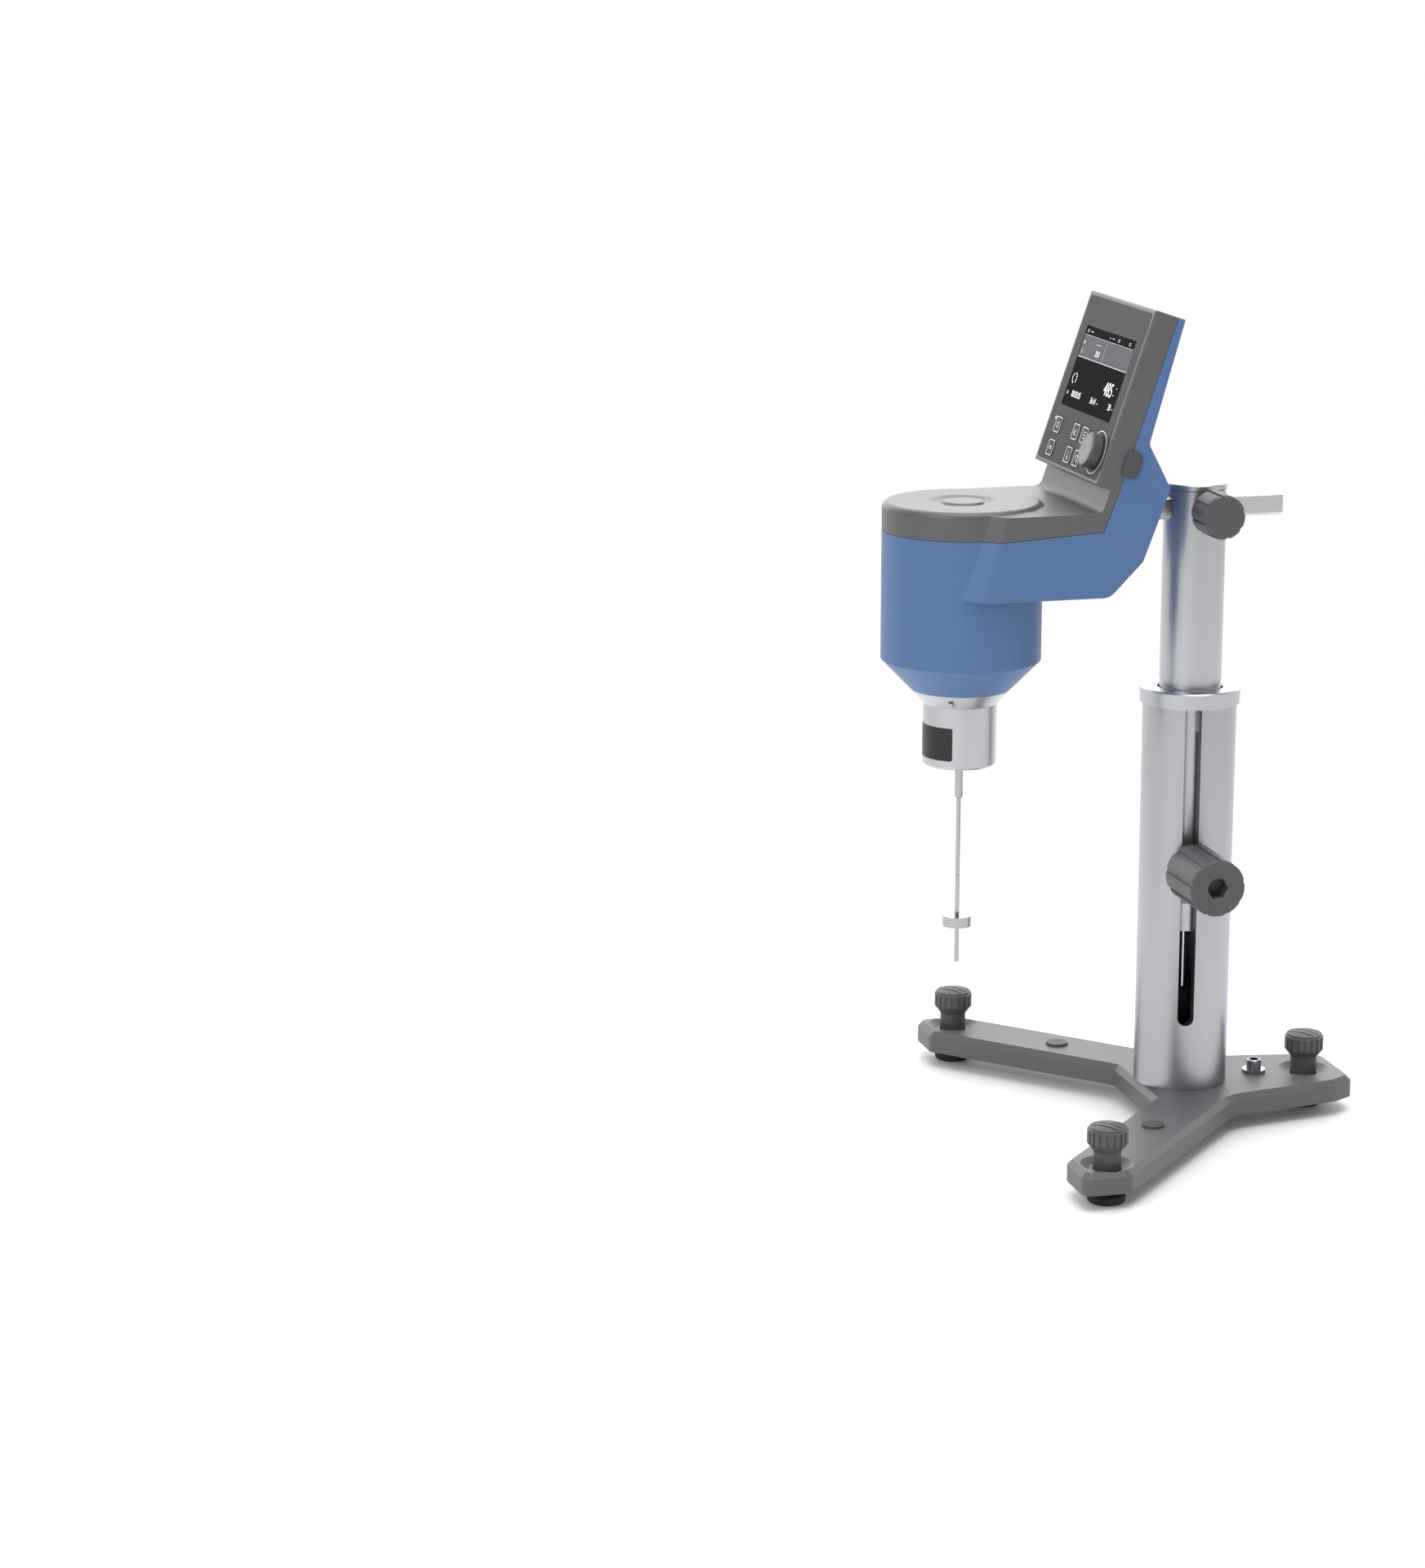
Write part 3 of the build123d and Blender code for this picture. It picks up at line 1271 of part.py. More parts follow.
# Bearing housing: the bright hub under the cone, held from inside by a ring nut
hub_top = shell_bottom + hub_spigot_rise
with BuildPart() as bearing_housing:
    with BuildSketch(barrel_plane):
        with BuildLine():
            Polyline(
                (bearing_diameter / 2, hub_bottom),
                (hub_radius - hub_edge, hub_bottom),
                (hub_radius, hub_bottom + hub_edge),
                (hub_radius, hub_crease),
                (shell_bottom_radius, shell_bottom),
                (hub_spigot, shell_bottom),
                (hub_spigot, hub_top),
                (bearing_diameter / 2, hub_top),
                (bearing_diameter / 2, hub_top - bearing_width),
                (bearing_diameter / 2 - bearing_lip, hub_top - bearing_width),
                (bearing_diameter / 2 - bearing_lip, hub_bottom + bearing_recess + bearing_width),
                (bearing_diameter / 2, hub_bottom + bearing_recess + bearing_width),
                close=True,
            )
        make_face()
    revolve(axis=barrel_axis)
bearing_housing.part.label = "bearing_housing"
export_step(bearing_housing.part, "parts/bearing_housing.step")

with BuildPart() as hub_nut:
    with BuildSketch(Plane.XY.offset(shell_bottom + wall)):
        with Locations((0, barrel_y)):
            Circle(hub_spigot + hub_nut_width)
            Circle(hub_spigot, mode=Mode.SUBTRACT)
    extrude(amount=hub_nut_height)
hub_nut.part.label = "hub_nut"
export_step(hub_nut.part, "parts/hub_nut.step")

# The pin on the hub that a spindle guard locks on
with BuildPart() as guard_pin:
    pin_way = Vector(cos(radians(guard_pin_angle)), -sin(radians(guard_pin_angle)), 0)
    pin_root = Vector(0, barrel_y, hub_crease + guard_pin_rise) + pin_way * hub_radius
    with BuildSketch(Plane(origin=pin_root, z_dir=pin_way)):
        Circle(guard_pin_diameter / 2)
    extrude(amount=guard_pin_reach)
    add(bearing_housing.part, mode=Mode.SUBTRACT)
guard_pin.part.label = "guard_pin"
export_step(guard_pin.part, "parts/guard_pin.step")

with BuildPart() as ball_bearings:
    for bearing_z in (hub_top - bearing_width, hub_bottom + bearing_recess):
        with BuildSketch(Plane.XY.offset(bearing_z)):
            with Locations((0, barrel_y)):
                Circle(bearing_diameter / 2)
                Circle(shaft_diameter / 2 + shaft_clearance, mode=Mode.SUBTRACT)
        extrude(amount=bearing_width)
ball_bearings.part.label = "ball_bearings"
export_step(ball_bearings.part, "parts/ball_bearings.step")

# Motor on its plate
with BuildPart() as motor_plate:
    with BuildSketch(Plane.XY.offset(motor_plate_z)):
        with Locations((0, barrel_y)):
            Circle(barrel_radius - wall - motor_plate_gap)
            Circle(motor_pilot / 2, mode=Mode.SUBTRACT)
            with PolarLocations(motor_post_circle / 2, 4, start_angle=45):
                Circle(boss_screw / 2, mode=Mode.SUBTRACT)
    extrude(amount=motor_plate_thickness)
motor_plate.part.label = "motor_plate"
export_step(motor_plate.part, "parts/motor_plate.step")

with BuildPart() as motor:
    with BuildSketch(Plane.XY.offset(plate_face)):
        with Locations((0, barrel_y)):
            RectangleRounded(motor_size, motor_size, motor_corner)
    extrude(amount=motor_height)
    with BuildSketch(Plane.XY.offset(motor_plate_z)):
        with Locations((0, barrel_y)):
            Circle(motor_pilot / 2)
    extrude(amount=motor_plate_thickness)
    with BuildSketch(Plane.XY.offset(motor_plate_z)):
        with Locations((0, barrel_y)):
            Circle(motor_shaft_diameter / 2 + shaft_clearance)
    extrude(amount=motor_height / 2, mode=Mode.SUBTRACT)
motor.part.label = "motor"
export_step(motor.part, "parts/motor.step")

drive_boss = 2 * disc_boss_rise
# Driving side: the motor's shaft turns a disc, whose pin holds the outer end of the spiral spring
motor_shaft_low = drive_disc_z - drive_boss
with BuildPart() as motor_shaft:
    with BuildSketch(Plane.XY.offset(motor_shaft_low)):
        with Locations((0, barrel_y)):
            Circle(motor_shaft_diameter / 2)
    extrude(amount=motor_plate_z + motor_height / 2 - motor_shaft_low - shaft_gap)
motor_shaft.part.label = "motor_shaft"
export_step(motor_shaft.part, "parts/motor_shaft.step")

spring_outer = spring_inner + spring_turns * spring_pitch
with BuildPart() as drive_disc:
    with BuildSketch(Plane.XY.offset(drive_disc_z)):
        with Locations((0, barrel_y)):
            Circle(disc_diameter / 2)
    extrude(amount=disc_thickness)
    with BuildSketch(Plane.XY.offset(motor_shaft_low)):
        with Locations((0, barrel_y)):
            Circle(motor_shaft_diameter)
    extrude(amount=disc_thickness + drive_boss + disc_boss_rise)
    with BuildSketch(Plane.XY.offset(spring_z)):
        with Locations((spring_outer + spring_strip / 2 + spring_pin, barrel_y)):
            Circle(spring_pin)
    extrude(amount=drive_disc_z - spring_z)
    with BuildSketch(Plane.XY.offset(motor_shaft_low)):
        with Locations((0, barrel_y)):
            Circle(motor_shaft_diameter / 2)
    extrude(amount=disc_thickness + 2 * drive_boss, mode=Mode.SUBTRACT)
drive_disc.part.label = "drive_disc"
export_step(drive_disc.part, "parts/drive_disc.step")

# The spiral spring, wound as half turns whose radius grows by half the pitch each time
with BuildPart() as torsion_spring:
    with BuildSketch(Plane(origin=(0, barrel_y, spring_z), x_dir=(1, 0, 0), z_dir=(0, 0, 1))):
        with BuildLine() as spiral:
            for half_turn in range(2 * spring_turns):
                side = -1 if half_turn % 2 else 1
                near = side * (spring_inner + half_turn * spring_pitch / 2)
                far = -side * (spring_inner + (half_turn + 1) * spring_pitch / 2)
                middle = ((near + far) / 2, side * (abs(near) + abs(far)) / 2)
                ThreePointArc((near, 0), middle, (far, 0))
        trace(line_width=spring_strip)
    extrude(amount=spring_height)
torsion_spring.part.label = "torsion_spring"
export_step(torsion_spring.part, "parts/torsion_spring.step")

# Measuring side: the shaft with its sensing disc, the coupling and the spindle
coupling_top = hub_bottom + bearing_recess / 2
shaft_low = coupling_top - spindle_grip
with BuildPart() as measuring_shaft:
    with BuildSketch(Plane.XY.offset(shaft_low)):
        with Locations((0, barrel_y)):
            Circle(shaft_diameter / 2)
    extrude(amount=motor_shaft_low - shaft_gap - shaft_low)
    with BuildSketch(Plane.XY.offset(spring_z - shaft_gap)):
        with Locations((0, barrel_y)):
            Circle(spring_inner - spring_strip / 2 - slide_clearance)
    extrude(amount=spring_height + 2 * shaft_gap)
    # The slotted sensing disc on its boss
    with BuildSketch(Plane.XY.offset(sensing_disc_z)):
        with Locations((0, barrel_y)):
            Circle(disc_diameter / 2)
            with PolarLocations(disc_diameter / 2, disc_slots):
                Rectangle(disc_slot_length, disc_slot_width, mode=Mode.SUBTRACT)
    extrude(amount=disc_thickness / 2)
    with BuildSketch(Plane.XY.offset(sensing_disc_z - disc_thickness)):
        with Locations((0, barrel_y)):
            Circle(2 * shaft_diameter)
    extrude(amount=3 * disc_thickness)
measuring_shaft.part.label = "measuring_shaft"
export_step(measuring_shaft.part, "parts/measuring_shaft.step")

with BuildPart() as spindle_coupling:
    with BuildSketch(barrel_plane):
        with BuildLine():
            Polyline(
                (spindle_diameter / 2, coupling_bottom),
                (coupling_diameter / 2 - coupling_edge, coupling_bottom),
                (coupling_diameter / 2, coupling_bottom + coupling_edge),
                (coupling_diameter / 2, coupling_top),
                (spindle_diameter / 2, coupling_top),
                close=True,
            )
        make_face()
    revolve(axis=barrel_axis)
spindle_coupling.part.label = "spindle_coupling"
export_step(spindle_coupling.part, "parts/spindle_coupling.step")

mark_z = bob_z + bob_height + mark_rise
spindle_top = shaft_low - shaft_gap / 2
with BuildPart() as spindle:
    with BuildSketch(barrel_plane):
        with BuildLine():
            Polyline(
                (0, spindle_bottom),
                (spindle_diameter / 2, spindle_bottom),
                (spindle_diameter / 2, bob_z),
                (bob_diameter / 2, bob_z),
                (bob_diameter / 2, bob_z + bob_height),
                (spindle_diameter / 2, bob_z + bob_height),
                (spindle_diameter / 2, mark_z),
                (spindle_diameter / 2 - mark_depth, mark_z + mark_width / 2),
                (spindle_diameter / 2, mark_z + mark_width),
                (spindle_diameter / 2, spindle_top),
                (0, spindle_top),
                close=True,
            )
        make_face()
    revolve(axis=barrel_axis)
spindle.part.label = "spindle"
export_step(spindle.part, "parts/spindle.step")

# Rubber flap over the port in the right-hand side; it swings on the roll along its rear edge
flap_axis = port_rise / 2
roll_radius = flap_axis - shaft_clearance
with BuildPart() as port_cover:
    with BuildSketch(side_plane):
        with Locations((port_depth, port_up)):
            RectangleRounded(port_width, port_length, port_corner)
    extrude(amount=port_rise)
    chamfer(port_cover.faces().sort_by(Axis.X)[-1].edges(), length=port_edge)
    roll_foot = side_plane.from_local_coords(
        (port_depth + port_width / 2, port_up - port_length / 2 + port_corner, flap_axis)
    )
    with BuildSketch(Plane(origin=roll_foot, x_dir=(1, 0, 0), z_dir=panel_plane.y_dir)):
        Circle(roll_radius)
    extrude(amount=port_length - 2 * port_corner)
port_cover.part.label = "port_cover"
export_step(port_cover.part, "parts/port_cover.step")
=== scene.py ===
import json
import math

import bmesh
import bpy
from bpy.props import FloatProperty, FloatVectorProperty, PointerProperty, StringProperty
from mathutils import Matrix, Vector


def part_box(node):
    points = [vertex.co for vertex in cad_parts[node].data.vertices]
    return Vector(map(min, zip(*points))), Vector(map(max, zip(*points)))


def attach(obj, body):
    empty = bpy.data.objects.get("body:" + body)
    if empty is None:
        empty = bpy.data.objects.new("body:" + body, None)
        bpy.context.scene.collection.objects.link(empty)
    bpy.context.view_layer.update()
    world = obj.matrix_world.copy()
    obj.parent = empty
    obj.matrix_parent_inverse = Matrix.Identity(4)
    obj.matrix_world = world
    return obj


bl_info = {
    "name": "Rotational viscometer looks",
    "version": (1, 0, 0),
    "blender": (4, 5, 0),
    "location": "View3D > Sidebar > Viscometer",
    "description": "Dresses the packed viscometer with finishes, printing, a display picture and a studio",
    "category": "Object",
}

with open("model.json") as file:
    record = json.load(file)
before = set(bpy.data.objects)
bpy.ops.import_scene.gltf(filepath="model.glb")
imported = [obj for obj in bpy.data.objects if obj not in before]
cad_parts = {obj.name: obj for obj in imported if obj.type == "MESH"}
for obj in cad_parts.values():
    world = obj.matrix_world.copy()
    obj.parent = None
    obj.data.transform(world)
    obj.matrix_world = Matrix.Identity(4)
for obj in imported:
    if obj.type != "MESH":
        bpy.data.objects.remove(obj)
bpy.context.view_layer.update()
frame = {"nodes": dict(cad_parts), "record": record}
nodes = frame["nodes"]

PANEL_TILT = math.radians(18.7)
PANEL_RIGHT = Vector((1, 0, 0))
PANEL_UP = Vector((0, math.sin(PANEL_TILT), math.cos(PANEL_TILT)))
PANEL_OUT = Vector((0, -math.cos(PANEL_TILT), math.sin(PANEL_TILT)))
KEY_NAMES = [f"key_{row}_{side}" for row in ("upper", "lower") for side in ("left", "middle", "right")]
KNURLED_SCREWS = [f"foot_screw_{place}" for place in ("front_right", "front_left", "rear")]
FOOT_PADS = [f"foot_pad_{place}" for place in ("front_right", "front_left", "rear")]

# How a finish's lines are stretched: along a drawn tube, and round a turned piece
DRAWN_LINES = (1400.0, 1400.0, 60.0)
TURNED_LINES = (50.0, 50.0, 2600.0)
# How far printing and the lowest layer of the display's picture stand off what carries them
PRINT_RISE = 0.00002


def middle(node):
    """The middle of a CAD node's box."""
    low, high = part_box(node)
    return (low + high) / 2


def span(name, direction):
    """How far a CAD node reaches along a direction: its nearest and farthest point."""
    reach = [vertex.co.dot(direction) for vertex in nodes[name].data.vertices]
    return min(reach), max(reach)


def face_point(name):
    """The middle of a panel piece's outer face."""
    centre = middle(name)
    return centre + PANEL_OUT * (span(name, PANEL_OUT)[1] - centre.dot(PANEL_OUT))


def panel_matrix(point, rise=0.0):
    """Places a drawing's x, y and thickness along the panel's width, height and outward direction."""
    turn = Matrix((PANEL_RIGHT, PANEL_UP, PANEL_OUT)).transposed().to_4x4()
    return Matrix.Translation(point + PANEL_OUT * rise) @ turn


class FinishSettings(bpy.types.PropertyGroup):
    """Colours and grain of the instrument's surfaces."""

    blue: FloatVectorProperty(
        name="Blue housing", description="Moulded blue of the lower housing", subtype="COLOR",
        size=3, default=(0.07, 0.15, 0.32), min=0, max=1,
    )
    cover_grey: FloatVectorProperty(
        name="Cover grey", description="Moulded grey of the upper cover", subtype="COLOR",
        size=3, default=(0.098, 0.099, 0.102), min=0, max=1,
    )
    panel_grey: FloatVectorProperty(
        name="Panel grey", description="Matte foil of the control panel", subtype="COLOR",
        size=3, default=(0.052, 0.053, 0.056), min=0, max=1,
    )
    base_grey: FloatVectorProperty(
        name="Base grey", description="Powder coat of the cast base", subtype="COLOR",
        size=3, default=(0.105, 0.107, 0.113), min=0, max=1,
    )
    knob_grey: FloatVectorProperty(
        name="Knob grey", description="Moulded grey of knobs and feet", subtype="COLOR",
        size=3, default=(0.075, 0.078, 0.082), min=0, max=1,
    )
    aluminium: FloatVectorProperty(
        name="Aluminium", description="Satin anodised aluminium", subtype="COLOR",
        size=3, default=(0.5, 0.51, 0.53), min=0, max=1,
    )
    outer_tube: FloatVectorProperty(
        name="Outer tube", description="Duller anodised aluminium of the outer tube", subtype="COLOR",
        size=3, default=(0.42, 0.43, 0.45), min=0, max=1,
    )
    # The steel colour is darker than bright stainless steel: painted shade, standing in for the shadow over
    # the spindle, shafts and studs.
    steel: FloatVectorProperty(
        name="Steel", description="Bright stainless steel", subtype="COLOR",
        size=3, default=(0.4, 0.41, 0.42), min=0, max=1,
    )
    plate_height: FloatProperty(
        name="Plate height", description="Height of the bare black plate on the hub", default=0.021,
        unit="LENGTH",
    )
    plate_rise: FloatProperty(
        name="Plate rise", description="How far the plate's middle is above the hub's end", default=0.0165,
        unit="LENGTH",
    )
    plate_angle: FloatProperty(
        name="Plate angle", description="How far the plate reaches round the hub", default=math.radians(122),
        unit="ROTATION",
    )
    grain_depth: FloatProperty(
        name="Grain depth", description="Height of the moulded grain", default=0.00004,
        min=0, max=0.0005, unit="LENGTH",
    )


class DisplaySettings(bpy.types.PropertyGroup):
    """What the lit display shows: plain numbers only."""

    large_number: StringProperty(name="Large number", description="Main reading", default="485")
    upper_number: StringProperty(name="Upper number", description="Reading in the grey band", default="25.0")
    lower_numbers: StringProperty(
        name="Lower numbers", description="Readings in the bottom row, with spaces between",
        default="00:03:05 36.41 30",
    )
    brightness: FloatProperty(
        name="Brightness", description="Glow of the lit signs", default=0.8, min=0, max=5,
    )
    head_row: FloatProperty(
        name="Head row", description="Height of the black row at the top, as a share of the screen",
        default=0.11, subtype="FACTOR",
    )
    band_end: FloatProperty(
        name="Band's end", description="Lower edge of the grey band, as a share of the screen",
        default=0.385, subtype="FACTOR",
    )
    divider: FloatProperty(
        name="Divider", description="Place of the band's upright line across the screen", default=0.48,
        subtype="FACTOR",
    )


class StageSettings(bpy.types.PropertyGroup):
    """Camera and studio."""

    azimuth: FloatProperty(
        name="Azimuth", description="Angle round the instrument, from its front", default=math.radians(75.5),
        unit="ROTATION",
    )
    elevation: FloatProperty(
        name="Elevation", description="Angle above the horizon", default=math.radians(13.234), unit="ROTATION",
    )
    lens: FloatProperty(name="Lens", description="Focal length", default=92.6, unit="CAMERA")
    place: FloatVectorProperty(
        name="Place", description="Where the camera stands", subtype="TRANSLATION", size=3,
        default=(2.3705, -0.8823, 0.8158),
    )
    key_power: FloatProperty(name="Key light", description="Large lamp to the left", default=25.0, min=0)
    fill_power: FloatProperty(name="Fill light", description="Lamp to the right", default=4.0, min=0)
    top_power: FloatProperty(name="Top light", description="Lamp overhead", default=44.0, min=0)
    sky: FloatProperty(name="Surroundings", description="Light from the camera's side", default=0.28, min=0)
    backdrop: FloatProperty(name="Backdrop", description="Light from behind the object", default=2.6, min=0)
    floor_lift: FloatProperty(
        name="Floor lift", description="Glow that keeps the floor white for the camera", default=0.03, min=0,
    )
    floor_reach: FloatProperty(
        name="Floor reach", description="Distance at which the floor has turned plain white", default=1.6,
        unit="LENGTH",
    )


class PrintSettings(bpy.types.PropertyGroup):
    """Printing on the control panel."""

    line_width: FloatProperty(
        name="Line width", description="Width of the printed outlines", default=0.0006, unit="LENGTH",
    )
    key_outline: FloatProperty(
        name="Key outline", description="Width of a key's printed square", default=0.0102, unit="LENGTH",
    )
    ring_diameter: FloatProperty(
        name="Ring diameter", description="Printed ring round the turning knob", default=0.027, unit="LENGTH",
    )
    sign_size: FloatProperty(
        name="Sign size", description="Width of the sign in a key", default=0.0038, unit="LENGTH",
    )
    thickness: FloatProperty(
        name="Print thickness", description="Thickness of the printing", default=0.00004, unit="LENGTH",
    )


def interface(group, inputs, outputs):
    """Gives a shader group its named sockets."""
    for name, kind, value in inputs:
        socket = group.interface.new_socket(name=name, in_out="INPUT", socket_type=kind)
        socket.default_value = value
    for name, kind in outputs:
        group.interface.new_socket(name=name, in_out="OUTPUT", socket_type=kind)
    return group.nodes.new("NodeGroupInput"), group.nodes.new("NodeGroupOutput")


def uneven_roughness(group, given, noise):
    """A group's roughness, made uneven by a noise."""
    new, link = group.nodes.new, group.links.new
    centred, spread = new("ShaderNodeMath"), new("ShaderNodeMath")
    centred.operation = "SUBTRACT"
    centred.inputs[1].default_value = 0.5
    spread.operation = "MULTIPLY_ADD"
    link(noise.outputs["Fac"], centred.inputs[0])
    link(centred.outputs[0], spread.inputs[0])
    link(given.outputs["Unevenness"], spread.inputs[1])
    link(given.outputs["Roughness"], spread.inputs[2])
    return spread.outputs[0]


def moulded_grain():
    """Fine leather-like grain of moulded plastic or powder coat: roughness, colour and bump."""
    group = bpy.data.node_groups.get("moulded_grain")
    if group:
        return group
    group = bpy.data.node_groups.new("moulded_grain", "ShaderNodeTree")
    given, put = interface(
        group,
        [
            ("Colour", "NodeSocketColor", (0.5, 0.5, 0.5, 1)),
            ("Size", "NodeSocketFloat", 900.0),
            ("Depth", "NodeSocketFloat", 0.00004),
            ("Roughness", "NodeSocketFloat", 0.5),
            ("Unevenness", "NodeSocketFloat", 0.06),
        ],
        [("Colour", "NodeSocketColor"), ("Roughness", "NodeSocketFloat"), ("Normal", "NodeSocketVector")],
    )
    new, link = group.nodes.new, group.links.new
    place = new("ShaderNodeTexCoord")
    fine = new("ShaderNodeTexNoise")
    fine.inputs["Detail"].default_value = 3
    link(place.outputs["Object"], fine.inputs["Vector"])
    link(given.outputs["Size"], fine.inputs["Scale"])
    broad = new("ShaderNodeTexNoise")
    broad.inputs["Scale"].default_value = 14
    broad.inputs["Detail"].default_value = 2
    link(place.outputs["Object"], broad.inputs["Vector"])
    bump = new("ShaderNodeBump")
    bump.inputs["Strength"].default_value = 0.6
    link(given.outputs["Depth"], bump.inputs["Distance"])
    link(fine.outputs["Fac"], bump.inputs["Height"])
    brighter = new("ShaderNodeMapRange")
    brighter.inputs["To Min"].default_value = 0.94
    brighter.inputs["To Max"].default_value = 1.06
    link(fine.outputs["Fac"], brighter.inputs["Value"])
    tone = new("ShaderNodeVectorMath")
    tone.operation = "SCALE"
    link(given.outputs["Colour"], tone.inputs[0])
    link(brighter.outputs["Result"], tone.inputs["Scale"])
    link(tone.outputs["Vector"], put.inputs["Colour"])
    link(uneven_roughness(group, given, broad), put.inputs["Roughness"])
    link(bump.outputs["Normal"], put.inputs["Normal"])
    return group


def machined_lines():
    """Fine lines of drawn, turned or blasted metal, stretched by a direction: roughness and bump."""
    group = bpy.data.node_groups.get("machined_lines")
    if group:
        return group
    group = bpy.data.node_groups.new("machined_lines", "ShaderNodeTree")
    given, put = interface(
        group,
        [
            ("Stretch", "NodeSocketVector", DRAWN_LINES),
            ("Depth", "NodeSocketFloat", 0.00001),
            ("Roughness", "NodeSocketFloat", 0.3),
            ("Unevenness", "NodeSocketFloat", 0.08),
        ],
        [("Roughness", "NodeSocketFloat"), ("Normal", "NodeSocketVector")],
    )
    new, link = group.nodes.new, group.links.new
    place = new("ShaderNodeTexCoord")
    stretched = new("ShaderNodeVectorMath")
    stretched.operation = "MULTIPLY"
    link(place.outputs["Object"], stretched.inputs[0])
    link(given.outputs["Stretch"], stretched.inputs[1])
    lines = new("ShaderNodeTexNoise")
    lines.inputs["Scale"].default_value = 1
    lines.inputs["Detail"].default_value = 2
    link(stretched.outputs["Vector"], lines.inputs["Vector"])
    bump = new("ShaderNodeBump")
    bump.inputs["Strength"].default_value = 0.5
    link(given.outputs["Depth"], bump.inputs["Distance"])
    link(lines.outputs["Fac"], bump.inputs["Height"])
    link(uneven_roughness(group, given, lines), put.inputs["Roughness"])
    link(bump.outputs["Normal"], put.inputs["Normal"])
    return group


def principled(name):
    """A new material with its Principled shader."""
    material = bpy.data.materials.new(name)
    material.use_nodes = True
    return material, material.node_tree.nodes["Principled BSDF"]


def moulded(name, colour, roughness=0.5, size=900.0, depth=0.00004, unevenness=0.06, shine=0.5):
    """Moulded plastic, rubber or powder-coated metal with a fine grain."""
    material, shader = principled(name)
    tree = material.node_tree
    grain = tree.nodes.new("ShaderNodeGroup")
    grain.node_tree = moulded_grain()
    grain.inputs["Colour"].default_value = (*colour, 1)
    grain.inputs["Size"].default_value = size
    grain.inputs["Depth"].default_value = depth
    grain.inputs["Roughness"].default_value = roughness
    grain.inputs["Unevenness"].default_value = unevenness
    tree.links.new(grain.outputs["Colour"], shader.inputs["Base Color"])
    tree.links.new(grain.outputs["Roughness"], shader.inputs["Roughness"])
    tree.links.new(grain.outputs["Normal"], shader.inputs["Normal"])
    shader.inputs["Specular IOR Level"].default_value = shine
    return material


def machined(name, colour, roughness=0.3, stretch=DRAWN_LINES, depth=0.00001, unevenness=0.08):
    """Metal with fine machining lines."""
    material, shader = principled(name)
    tree = material.node_tree
    lines = tree.nodes.new("ShaderNodeGroup")
    lines.node_tree = machined_lines()
    lines.inputs["Stretch"].default_value = stretch
    lines.inputs["Depth"].default_value = depth
    lines.inputs["Roughness"].default_value = roughness
    lines.inputs["Unevenness"].default_value = unevenness
    tree.links.new(lines.outputs["Roughness"], shader.inputs["Roughness"])
    tree.links.new(lines.outputs["Normal"], shader.inputs["Normal"])
    shader.inputs["Base Color"].default_value = (*colour, 1)
    shader.inputs["Metallic"].default_value = 1
    return material


def pixel_rows():
    """Fine rows and columns of a display's pixels, as a slightly darker grid over a colour."""
    group = bpy.data.node_groups.get("pixel_rows")
    if group:
        return group
    group = bpy.data.node_groups.new("pixel_rows", "ShaderNodeTree")
    given, put = interface(
        group,
        [("Colour", "NodeSocketColor", (1, 1, 1, 1)), ("Darkest", "NodeSocketFloat", 0.8)],
        [("Colour", "NodeSocketColor")],
    )
    new, link = group.nodes.new, group.links.new
    place = new("ShaderNodeTexCoord")
    across, down = new("ShaderNodeTexWave"), new("ShaderNodeTexWave")
    grid = new("ShaderNodeMath")
    grid.operation = "MAXIMUM"
    for wave, direction, socket in ((across, "X", 0), (down, "Z", 1)):
        wave.bands_direction = direction
        wave.inputs["Scale"].default_value = 2600
        link(place.outputs["Object"], wave.inputs["Vector"])
        link(wave.outputs["Fac"], grid.inputs[socket])
    share = new("ShaderNodeMapRange")
    link(grid.outputs[0], share.inputs["Value"])
    link(given.outputs["Darkest"], share.inputs["To Min"])
    tone = new("ShaderNodeVectorMath")
    tone.operation = "SCALE"
    link(given.outputs["Colour"], tone.inputs[0])
    link(share.outputs["Result"], tone.inputs["Scale"])
    link(tone.outputs["Vector"], put.inputs["Colour"])
    return group


def lit(name, colour, strength):
    """A lit part of the display's picture, or a lamp."""
    material, shader = principled(name)
    tree = material.node_tree
    pixels = tree.nodes.new("ShaderNodeGroup")
    pixels.node_tree = pixel_rows()
    pixels.inputs["Colour"].default_value = (*colour, 1)
    tree.links.new(pixels.outputs["Colour"], shader.inputs["Base Color"])
    tree.links.new(pixels.outputs["Colour"], shader.inputs["Emission Color"])
    shader.inputs["Roughness"].default_value = 0.5
    shader.inputs["Specular IOR Level"].default_value = 0.1
    shader.inputs["Emission Strength"].default_value = strength
    return material


def dress(material, *names):
    """Gives CAD nodes a material."""
    for name in names:
        node = nodes[name]
        if not node.data.materials:
            node.data.materials.append(material)
        for slot in node.material_slots:
            slot.material = material


def piece(name, mesh, material, body):
    """Makes an object of a finished mesh, and lets it ride on its body."""
    mesh.materials.append(material)
    made = bpy.data.objects.new(name, mesh)
    bpy.context.scene.collection.objects.link(made)
    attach(made, body)
    return made


def finished_mesh(name, shape, matrix):
    """A mesh from a bmesh, moved to its place, with its faces pointing outwards."""
    bmesh.ops.recalc_face_normals(shape, faces=shape.faces)
    bmesh.ops.transform(shape, matrix=matrix, verts=shape.verts)
    mesh = bpy.data.meshes.new(name)
    shape.to_mesh(mesh)
    shape.free()
    return mesh


def raise_faces(shape, faces, thickness):
    """Gives flat faces of a bmesh a thickness."""
    raised = bmesh.ops.extrude_face_region(shape, geom=faces)
    top = [item for item in raised["geom"] if isinstance(item, bmesh.types.BMVert)]
    bmesh.ops.translate(shape, verts=top, vec=(0, 0, thickness))


